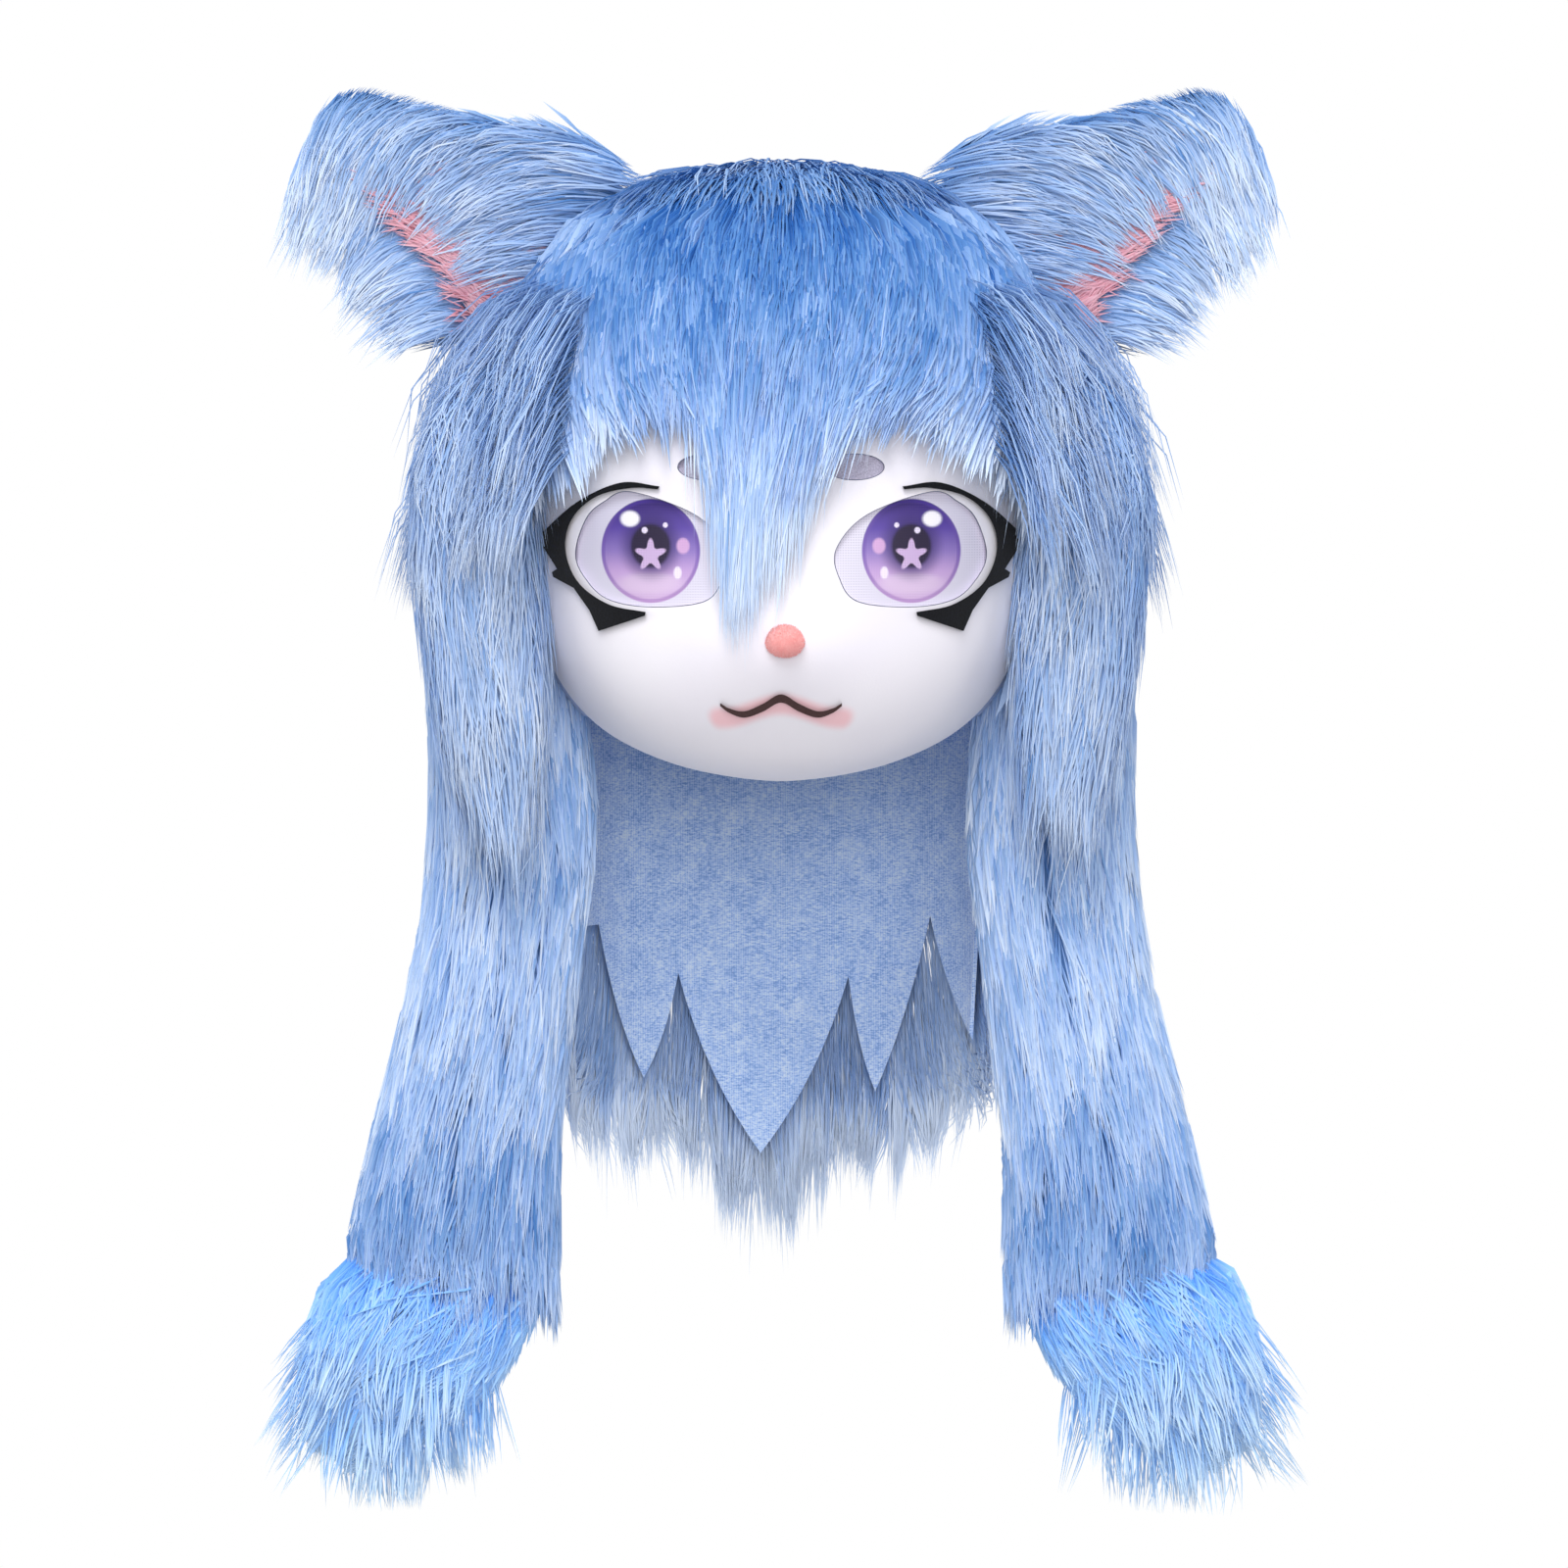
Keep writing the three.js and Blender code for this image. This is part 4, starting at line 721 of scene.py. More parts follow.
def make_crown(blue):
    rng = np.random.default_rng(11)
    def behind(u, v, here):
        under = (here[:, 1] < 45) * (here[:, 2] < level(185))
        return (here[:, 1] > HAIRLINE_FRONT - 6) * (here[:, 2] > level(CURTAIN_TOP) - 4) * (1 - under)
    count = COATS["crown"]
    u, v = scatter(head_fur, count, rng, behind, (0.05, 0.8))
    here, _, speed_u, speed_v = surface_frame(head_fur, u, v)
    top = np.clip(1 - v / 0.1, 0, 1)
    length = rng.normal(74, 10, count) * (1 - 0.1 * top)
    aside = rng.normal(0, 0.16 + 0.16 * top, count)
    tip_u = u + length * np.sin(aside) / np.maximum(speed_u, 140)
    tip_v = np.minimum(v + length * np.cos(aside) / np.maximum(speed_v, 260), 0.88)
    stand = rng.uniform(2, 8, count)
    tip_stand = rng.uniform(0, 9, count)
    lines, facing, lock = laid(head_fur, u, v, tip_u, tip_v, stand, tip_stand, rng, 26, 0.6, FINE)
    tone = shades(0.5 - 0.1 * top, count, lock, rng)
    coat = (lines, facing, rng.uniform(0.9, 1.3, count), tone)
    # The top falls to all sides from a whorl behind the crown.
    count = COATS["cap"]
    u, v = scatter(head_fur, count, rng, behind, (0.0, 0.12))
    here, facing, _, _ = surface_frame(head_fur, u, v)
    away = unit((here - [0, WHORL_BACK, 0]) * [1, 1, 0] + rng.normal(0, 20, here.shape) * [1, 1, 0])
    flat = away - facing * (away * facing).sum(1, keepdims=True)
    heading = unit(flat + facing * rng.uniform(0.0, 0.24, (count, 1)))
    lines, facing, lock = hung(here - facing * 2, facing, heading, rng.normal(66, 11, count),
                               rng.uniform(0.4, 0.8, count), rng, 18, 0.5, CURVED, 2.5)
    cap = (lines, facing, rng.uniform(0.9, 1.3, count), shades(0.28, count, lock, rng))
    place_piece("crown_pile", fur_mesh("crown_pile", [coat, cap]), blue, "long_fur", "crown_fur")


# Forelocks: where each starts round the brow, where its tip lies across and down, in millimetres.
BANG_LOCKS = np.array([
    (-1.45, -129, 205), (-1.2, -122, 184), (-1.0, -109, 164), (-0.82, -92, 148), (-0.62, -74, 137),
    (-0.46, -54, 126), (-0.34, -41, 133), (-0.24, -31, 163), (-0.15, -25, 205), (-0.07, -26, 247),
    (0.02, -13, 214), (0.1, 1.5, 193), (0.18, 9, 176), (0.28, 19, 152), (0.38, 27, 137),
    (0.52, 46, 129), (0.68, 66, 136), (0.85, 90, 148), (1.02, 108, 164), (1.22, 122, 184),
    (1.45, 129, 205),
])


def make_bangs(blue):
    rng = np.random.default_rng(23)
    def brow(u, v, here):
        return (here[:, 1] < HAIRLINE_FRONT + 12) * (1.0 + 1.5 * (v < 0.16))
    coats = []
    for count, steps, reaching in ((COATS["forelock"], CURVED, True), (COATS["fringe"], FINE, False)):
        u, v = scatter(head_fur, count, rng, brow, (0.0, 0.34), (0.25, 0.75))
        angle = (0.5 - u) * 2 * PI
        aim = np.stack([np.interp(angle + rng.normal(0, 0.05, count), BANG_LOCKS[:, 0], BANG_LOCKS[:, at])
                        for at in (1, 2)], axis=1)
        drop = np.maximum(aim[:, 1] + rng.normal(-3, 6, count), v * HEAD_HEIGHT + 20)
        wide, _, _, _ = head_section(drop / HEAD_HEIGHT)
        side = np.clip(np.abs(aim[:, 0] + rng.normal(0, 2.5, count)) / (wide + 5), 0, 0.999)
        tip_angle = np.sign(aim[:, 0]) * np.arcsin(side ** (ROUNDNESS / 2))
        tip_u, tip_v = 0.5 - tip_angle / (2 * PI), drop / HEAD_HEIGHT
        if reaching:
            part = rng.uniform(0.82, 1.03, count)
            stand, tip_stand = rng.uniform(2, 8, count), rng.uniform(0, 3, count)
        else:
            short = 78 / np.maximum((tip_v - v) * HEAD_HEIGHT, 78)
            part = short * rng.uniform(0.7, 1.15, count)
            stand, tip_stand = rng.uniform(4, 10, count), rng.uniform(2, 10, count)
            tip_u = tip_u + rng.normal(0, 0.04, count) * np.clip(1 - v / 0.26, 0.1, 1)
        tip_u, tip_v = u + (tip_u - u) * part, v + (tip_v - v) * part
        lines, facing, lock = laid(head_fur, u, v, tip_u, tip_v, stand, tip_stand, rng, 26, 0.6, steps, 2.5)
        sides = np.clip((np.abs(angle) - 0.3) / 0.7, 0, 1)
        tone = shades(sides * 0.08, count, lock, rng)[:, None]
        tone = tone + np.interp(level(lines[..., 2]), [0, 60, 110, 150, 240], [0.1, 0.22, 0.4, 0.62, 0.72])
        coats.append((lines, facing, rng.uniform(0.8, 1.2, count), tone))
    place_piece("bangs_pile", fur_mesh("bangs_pile", coats), blue, "long_fur", "bangs")


def limb_surface(rows, place):
    """A soft limb through rows of a table. u runs round it and v down it."""
    table = np.array(rows, float)
    def surf(u, v):
        sizes = smooth(table[:, 0], table[:, 1:], np.minimum(v, table[-1, 0]))
        turn = -2 * PI * u
        across, deep = signed_power(np.cos(turn), 0.9), signed_power(np.sin(turn), 0.9)
        return place(v, sizes, across, deep)
    return surf


FLAP_ROWS = [
    (0.0, 0.85, 0.25, 0.4), (0.06, 0.94, 0.52, 0.7), (0.14, 1.0, 0.76, 0.88), (0.34, 0.965, 0.84, 0.96),
    (0.55, 0.925, 0.92, 1.0), (0.73, 0.995, 0.94, 1.0), (0.88, 1.08, 1.06, 0.98), (1.0, 1.13, 1.2, 0.92),
]
PAW_ROWS = [
    (0.0, 0.0, 0.98, 0.94, 0), (0.26, 0.1, 1.0, 0.92, 14), (0.52, 0.25, 0.86, 0.82, 26),
    (0.78, 0.42, 0.52, 0.62, 32), (0.94, 0.52, 0.06, 0.08, 34),
]
SIDE_HAIR_ROWS = [
    (0.0, 0.84, 0.3, 0.4), (0.1, 0.93, 0.7, 0.75), (0.28, 1.0, 1.0, 0.97), (0.5, 1.0, 1.0, 1.0),
    (0.8, 0.96, 0.8, 0.85), (1.0, 0.93, 0.5, 0.5),
]


def flap_place(v, sizes, across, deep):
    x = sizes[..., 0] * FLAP_OUT + across * sizes[..., 1] * (FLAP_WIDE / 2 - FLAP_INSET)
    y = FLAP_BACK + deep * sizes[..., 2] * (FLAP_DEEP / 2 - FLAP_INSET)
    return points_of(x, y, level(FLAP_DROP + v * FLAP_LENGTH))


def paw_place(v, sizes, across, deep):
    lean = np.radians(sizes[..., 3])
    reach = across * sizes[..., 1] * (PAW_WIDE / 2 - PAW_INSET)
    x = FLAP_ROWS[-1][1] * FLAP_OUT + sizes[..., 0] * PAW_LENGTH + reach * np.cos(lean)
    y = FLAP_BACK + deep * sizes[..., 2] * (FLAP_DEEP / 2 - FLAP_INSET)
    z = level(FLAP_DROP + FLAP_LENGTH) - v * PAW_LENGTH + reach * np.sin(lean)
    return points_of(x, y, z)


def side_hair_place(v, sizes, across, deep):
    x = sizes[..., 0] * SIDE_HAIR_OUT + across * sizes[..., 1] * (SIDE_HAIR_WIDE / 2 - SIDE_HAIR_INSET)
    y = HAIRLINE_FRONT - SIDE_HAIR_DEEP / 2 + deep * sizes[..., 2] * (SIDE_HAIR_DEEP / 2 - SIDE_HAIR_INSET)
    return points_of(x, y, level(SIDE_HAIR_DROP + v * SIDE_HAIR_LENGTH))


def make_limbs(blue, pale):
    flap = limb_surface(FLAP_ROWS, flap_place)
    paw = limb_surface(PAW_ROWS, paw_place)
    side_hair = limb_surface(SIDE_HAIR_ROWS, side_hair_place)
    def flap_tone(u, v, here):
        band = np.exp(-((v - 0.9) / 0.08) ** 2) * 0.18 + np.exp(-((v - 0.42) / 0.06) ** 2) * 0.06
        return 0.54 + 0.08 * np.sin(v * 3.0) - band
    def paw_tone(u, v, here):
        return 0.4 + 0.52 * v
    def side_tone(u, v, here):
        return 0.58 + 0.08 * v
    for side, name in ((1, "left"), (-1, "right")):
        rng = np.random.default_rng(40 + side)
        mirrored = side < 0
        coat = combed(flap, COATS["flap"], rng, 66, 0.11, (1, 5), (-1, 7), 30, 0.55, flap_tone, limit=1.13)
        mesh = fur_mesh("flap", [coat], tube_quads(flap, 28, 36, (0.0, 1.0)), mirrored)
        piece = place_piece(f"flap_pile_{name}", mesh, blue, "long_fur", f"flap_{name}")
        coat = combed(paw, COATS["paw"], rng, 46, 0.35, (1, 5), (0, 11), 20, 0.6, paw_tone,
                      v_range=(0.08, 0.84), limit=0.96)
        u, v = scatter(paw, COATS["paw_tip"], rng, None, (0.4, 0.85))
        here, facing, _, _ = surface_frame(paw, u, v)
        heading = unit(0.6 * facing + [0.18, -0.1, -0.9] + rng.normal(0, 0.12, here.shape))
        room = (here[:, 2] - level(PAW_TIP_DROP)) / -heading[:, 2].clip(-1, -0.5)
        reach = np.minimum(rng.normal(44, 9, len(u)), room)
        lines, facing, lock = hung(here, facing, heading, reach, rng.uniform(0, 0.4, len(u)),
                                   rng, 16, 0.75, CURVED, 2.0)
        tips = (lines, facing, rng.uniform(0.7, 1.1, len(u)), shades(0.75, len(u), lock, rng))
        mesh = fur_mesh("paw", [coat, tips], tube_quads(paw, 28, 16, (0.2, 0.84)), mirrored)
        piece = place_piece(f"paw_pile_{name}", mesh, pale, "deep_fur", f"paw_{name}")
        coat = combed(side_hair, COATS["side_hair"], rng, 88, 0.14, (1, 6), (0, 14), 30, 0.65, side_tone,
                      CURVED, v_range=(0.0, 0.72))
        # Long hair from the temple falls over the top of the side hair and the flap.
        temple_range = (0.5 - 1.75 / (2 * PI), 0.5 - 0.75 / (2 * PI))
        u, v = scatter(head_fur, COATS["temple"], rng, None, (0.17, 0.44), temple_range)
        here, facing, _, _ = surface_frame(head_fur, u, v)
        heading = unit(0.75 * facing + [0.1, -0.12, -0.6] + rng.normal(0, 0.1, here.shape).clip(-0.15, 0.15))
        lines, facing, lock = hung(here - facing * 2, facing, heading, rng.normal(104, 16, len(u)),
                                   rng.uniform(0.75, 1.05, len(u)), rng, 28, 0.6, CURVED, 2.5)
        temple = (lines, facing, rng.uniform(0.9, 1.3, len(u)), shades(0.6, len(u), lock, rng))
        mesh = fur_mesh("side", [coat, temple], tube_quads(side_hair, 24, 24, (0.03, 0.8)), mirrored)
        place_piece(f"side_hair_pile_{name}", mesh, blue, "long_fur", f"side_hair_{name}")


# Sections of an ear along its length: along, inner, outer and deep shares.
EAR_ROWS = np.array([
    (-0.2, 0.47, 0.38, 0.5), (0.05, 0.5, 0.42, 0.5), (0.3, 0.4, 0.29, 0.46), (0.55, 0.31, 0.19, 0.38),
    (0.78, 0.22, 0.15, 0.27), (0.93, 0.13, 0.12, 0.17), (1.0, 0.03, 0.03, 0.04),
])


def ear_point(across, along, floor=None):
    """A point of the wearer's left ear, on its back, or off its cup's floor."""
    lean = math.radians(EAR_RISE)
    axis = np.array([math.cos(lean), -0.04, math.sin(lean)])
    axis /= np.linalg.norm(axis)
    up = np.array([-math.sin(lean), 0.0, math.cos(lean)])
    along = np.minimum(along, 1.0)
    sizes = smooth(EAR_ROWS[:, 0], EAR_ROWS[:, 1:], along)
    reach = np.where(across > 0, sizes[..., 0], sizes[..., 1]) * EAR_WIDE
    bulge = np.sqrt(np.clip(1 - across ** 2, 0, 1))
    deep = sizes[..., 2] * EAR_DEEP * bulge
    y = deep if floor is None else 0.2 * deep - floor
    root = np.array([EAR_ROOT_OUT, 0.0, level(EAR_ROOT_DROP)])
    flat = root + np.asarray(along)[..., None] * EAR_LENGTH * axis + (across * reach)[..., None] * up
    flat[..., 1] += y
    return flat


def ear_back(u, v):
    return ear_point(0.98 * (2 * u - 1), v) - np.array([0, 3.0, 0])


def ear_front(u, v):
    return ear_point(0.98 * (1 - 2 * u), v, 0.0)


def ear_coat(surf, count, rng, length, per_lock, tone, steps, keep=None, v_range=(0.0, 0.97), away=0.15,
             pull=0.6):
    """Free strands of an ear: they set off along it, and hang more the nearer they are to its tip."""
    u, v = scatter(surf, count, rng, keep, v_range)
    here, facing, _, _ = surface_frame(surf, u, v)
    # Those on the upper edge keep to it for longer.
    edge = np.clip(1 - (u if surf is ear_front else 1 - u) / 0.16, 0, 1) * np.clip(1.15 - v, 0, 1)
    dip = np.interp(v, [0, 0.5, 1.0], [-8, 22, 66]) * (1 - edge) - 27 * edge
    dip = np.radians(dip + rng.normal(0, 8, count))
    heading = np.stack([np.cos(dip), np.zeros(count), -np.sin(dip)], axis=1)
    heading = unit(heading + facing * (away + rng.uniform(-0.1, 0.15, count))[:, None])
    sag = np.interp(v, [0, 0.6, 1.0], [0.3, 0.7, 0.75]) * rng.uniform(0.7, 1.2, count)
    reach = rng.normal(length, length * 0.17, count) * np.interp(v, [0, 0.8, 1.0], [1.0, 0.9, 0.7])
    lines, facing, lock = hung(here, facing, heading, reach, sag, rng, per_lock, pull, steps)
    return lines, facing, rng.uniform(0.8, 1.2, count), shades(tone, count, lock, rng)


def make_ears(blue, pink):
    def above_lower_edge(u, v, here):
        return (u > 0.1) * 1.0
    def over_lining(u, v, here):
        return (u < np.interp(v, [0.1, 0.5], [0.5, 0.3])) * 1.0
    def on_lower_edge(u, v, here):
        return (u > 0.88) * 1.0
    for side, name in ((1, "left"), (-1, "right")):
        rng = np.random.default_rng(70 + side)
        mirrored = side < 0
        back = ear_coat(ear_back, COATS["ear_back"], rng, 46, 22, 0.5, FINE, above_lower_edge)
        ridge = ear_coat(ear_front, COATS["ear_ridge"], rng, 58, 20, 0.55, CURVED, over_lining,
                         (-0.1, 0.97), 0.12)
        rim = ear_coat(ear_front, COATS["ear_rim"], rng, 60, 16, 0.68, CURVED, on_lower_edge,
                       (0.1, 0.97), 0.05, 0.75)
        end = ear_coat(ear_front, COATS["ear_end"], rng, 68, 16, 0.74, CURVED, None, (0.6, 0.99), 0.1, 0.75)
        u, v = np.meshgrid(np.linspace(0.1, 0.9, 24), np.linspace(-0.15, 0.9, 24))
        outer, inner = ear_point(1 - 2 * u, v, -0.5), ear_point(1 - 2 * u, v)
        inner[..., 1] = np.maximum(inner[..., 1] - 5, outer[..., 1] + 0.5)
        mesh = fur_mesh("ear", [back, ridge, rim, end], grid_quads(outer, inner), mirrored)
        piece = place_piece(f"ear_pile_{name}", mesh, blue, "ear_plush", f"ear_{name}")
        tuft = combed(ear_front, COATS["inner_ear"], rng, 22, 0.3, (1, 3), (1, 5), 14, 0.5,
                      lambda u, v, here: 0.5, v_range=(0.0, 0.72), lean=0.5, width=(0.8, 1.3),
                      keep=lambda u, v, here: ((u > 0.35) & (u < 0.95)) * 1.0)
        u, v = np.meshgrid(np.linspace(0.3, 0.94, 16), np.linspace(-0.02, 0.74, 20))
        outer, inner = ear_point(1 - 2 * u, v, 1.6), ear_point(1 - 2 * u, v, 0.4)
        mesh = fur_mesh("inner_ear", [tuft], grid_quads(outer, inner), mirrored)
        place_piece(f"inner_ear_pile_{name}", mesh, pink, "ear_plush", f"inner_ear_{name}")


# The nape curtain's plan: share of the length, half width and depth.
CURTAIN_ROWS = np.array([
    (0.0, 1.03, 1.0), (0.1, 0.95, 0.93), (0.25, 0.87, 0.86), (0.6, 0.82, 0.82), (1.0, 0.78, 0.8),
    (1.22, 0.77, 0.8),
])
# Petals of the hem: place across and down, and the bulge of the edge that leads there.
HEM_POINTS = [
    (-0.78, 0.53, 0), (-0.59, 0.842, -0.03), (-0.442, 0.633, 0.02), (-0.088, 0.998, -0.06),
    (0.29, 0.64, 0.06), (0.405, 0.872, -0.02), (0.64, 0.516, 0.02), (0.82, 0.76, -0.02),
    (1.0, 0.45, 0.02),
]
NAPE_TIPS = np.array([
    (-0.86, 0.93), (-0.68, 1.04), (-0.48, 1.0), (-0.28, 1.1), (-0.09, 1.2), (0.08, 1.14), (0.26, 1.02),
    (0.45, 1.05), (0.66, 0.97), (0.86, 0.86),
])


def curtain_point(angle, drop, lift):
    sizes = smooth(CURTAIN_ROWS[:, 0], CURTAIN_ROWS[:, 1:], drop)
    wide, deep = sizes[..., 0] * CURTAIN_WIDE / 2 + lift, sizes[..., 1] * CURTAIN_DEEP + lift
    x, y = -wide * np.cos(angle), CURTAIN_FRONT + deep * np.sin(angle)
    return points_of(x, y, level(CURTAIN_TOP + drop * CURTAIN_LENGTH))


def hem_shape():
    def place(out, drop):
        return np.array([out * CURTAIN_WIDE / 2, level(CURTAIN_TOP + drop * CURTAIN_LENGTH)])
    line = [np.array([-CURTAIN_WIDE, level(0)]), np.array([-CURTAIN_WIDE, place(0, HEM_POINTS[0][1])[1]])]
    line.append(place(*HEM_POINTS[0][:2]))
    for before, point in zip(HEM_POINTS, HEM_POINTS[1:]):
        a, c = place(*before[:2]), place(*point[:2])
        b = place((before[0] + point[0]) / 2 + point[2], (before[1] + point[1]) / 2 + 0.03)
        for t in np.linspace(0, 1, 9)[1:]:
            line.append(a * (1 - t) ** 2 + 2 * b * t * (1 - t) + c * t ** 2)
    line.append(np.array([CURTAIN_WIDE, line[-1][1]]))
    line.append(np.array([CURTAIN_WIDE, level(0)]))
    return np.array(line)


def jersey_material():
    """Heather cotton jersey: two yarns of blue in short flecks, in wales 1.2 mm apart."""
    material, tree, shader = start_material("heather_cotton_jersey", 0.95, 0.2, 0.15)
    coords = add(tree, "TexCoord")
    parts = add(tree, "SeparateXYZ", {0: coords.outputs["Object"]})
    turn = add(tree, "Math", {0: parts.outputs["X"], 1: 2 * PI / 0.0012}, operation="MULTIPLY")
    wale = add(tree, "Math", {0: turn}, operation="SINE")
    flat = add(tree, "VectorMath", {0: coords.outputs["Object"], 1: (420.0, 420.0, 1300.0)},
               operation="MULTIPLY")
    fleck = add(tree, "TexNoise", {"Vector": flat, "Scale": 1.0, "Detail": 3.0, "Roughness": 0.7})
    patch = add(tree, "TexNoise", {"Vector": coords.outputs["Object"], "Scale": 90.0})
    mixed = add(tree, "Math", {0: wale, 1: 0.05, 2: fleck.outputs["Fac"]}, operation="MULTIPLY_ADD")
    spread = add(tree, "Math", {0: patch.outputs["Fac"], 1: 0.3, 2: mixed}, operation="MULTIPLY_ADD")
    colour = ramp_of(tree, spread.outputs[0], [(0.5, "#88A9E2"), (0.62, "#ACC9F8"), (0.8, "#DCEAFF")])
    tree.links.new(colour, shader.inputs["Base Color"])
    bump = add(tree, "Bump", {"Height": wale, "Strength": 0.35, "Distance": 0.0002})
    tree.links.new(bump.outputs["Normal"], shader.inputs["Normal"])
    return material


def make_jersey():
    angles, drops = np.meshgrid(np.linspace(0, PI, 90), np.linspace(-0.05, 1.05, 90))
    sheet = slab("jersey", curtain_point(angles, drops, JERSEY_WALL), curtain_point(angles, drops, 0.0))
    mesh = carve(sheet, prism(hem_shape(), 0, 300), "INTERSECT")
    mesh = carve(mesh, head_skin(PIECE_GAP, 90, 60))
    piece = place_piece("jersey", smooth_faces(mesh), jersey_material(), "jersey", "nape_lining")


def nape_surface(u, v):
    return curtain_point(PI * u, v, JERSEY_WALL + 5)


def make_nape(blue):
    rng = np.random.default_rng(90)
    def tone(u, v, here):
        return 0.78 + 0.14 * v
    count = COATS["nape"]
    u, v = scatter(nape_surface, count, rng, None, (0.0, 0.86), (0.02, 0.98))
    here = nape_surface(u, v)
    out = here[:, 0] / (CURTAIN_WIDE / 2)
    fall = np.interp(out + rng.normal(0, 0.03, count), NAPE_TIPS[:, 0], NAPE_TIPS[:, 1])
    long_reach = np.maximum(fall - v, 0.1) + rng.normal(-0.02, 0.05, count)
    reach = np.where(v > 0.45, long_reach, rng.normal(0.24, 0.04, count))
    tip_u = u + rng.normal(0, 0.012, count)
    tip_v = v + reach
    lines, facing, lock = laid(nape_surface, u, v, tip_u, tip_v, rng.uniform(2, 9, count),
                               rng.uniform(0, 8, count), rng, 60, 0.85, CURVED, 2.0)
    coat = (lines, facing, rng.uniform(0.9, 1.3, count), shades(tone(u, v, here), count, lock, rng))
    grid_u, grid_v = np.meshgrid(np.linspace(0.02, 0.98, 40), np.linspace(0.0, 0.5, 24))
    under = grid_quads(curtain_point(PI * (1 - grid_u), grid_v, JERSEY_WALL + 6),
                       curtain_point(PI * (1 - grid_u), grid_v, JERSEY_WALL + 1))
    mesh = fur_mesh("nape_pile", [coat], under, under_tone=0.6)
    place_piece("nape_pile", mesh, blue, "long_fur", "nape_fur")


def make_face_trims():
    lash_felt = cloth_material("cut_felt_black", "#050608", "#12131A", 1200.0, 0.5, 0.95, 0.1)
    mouth_felt = cloth_material("embroidered_mouth_brown", "#3A2526", "#4C3433", 1500.0, 0.4)
    screen = cloth_material("dotted_screen", "#9C97AB", "#C9C4D6", 1500.0, 0.2)
    print_cloth = eye_material()
    for side, name in ((1, "left"), (-1, "right")):
        mesh = face_layer(lash_shape(side), PIECE_GAP, PIECE_GAP + FELT_THICKNESS, 2.0)
        place_piece(f"lash_felt_{name}", smooth_faces(mesh), lash_felt, "lash_felt", f"lash_{name}")
        mesh = face_layer(brow_shape(side, PIECE_GAP), -MESH_INSET - MESH_THICKNESS, -MESH_INSET, 2.0)
        place_piece(f"brow_screen_{name}", smooth_faces(mesh), screen, "brow_mesh", f"brow_mesh_{name}")
        mesh = face_layer(eye_shape(side, PIECE_GAP), -MESH_INSET - MESH_THICKNESS, -MESH_INSET, 2.5)
        place_piece(f"eye_screen_{name}", smooth_faces(mesh), print_cloth, "printed_mesh", f"eye_mesh_{name}")
    mesh = face_layer(mouth_shape(), PIECE_GAP, PIECE_GAP + 1.4, 1.2)
    place_piece("mouth_trim", smooth_faces(mesh), mouth_felt, "mouth_felt", "mouth_line")


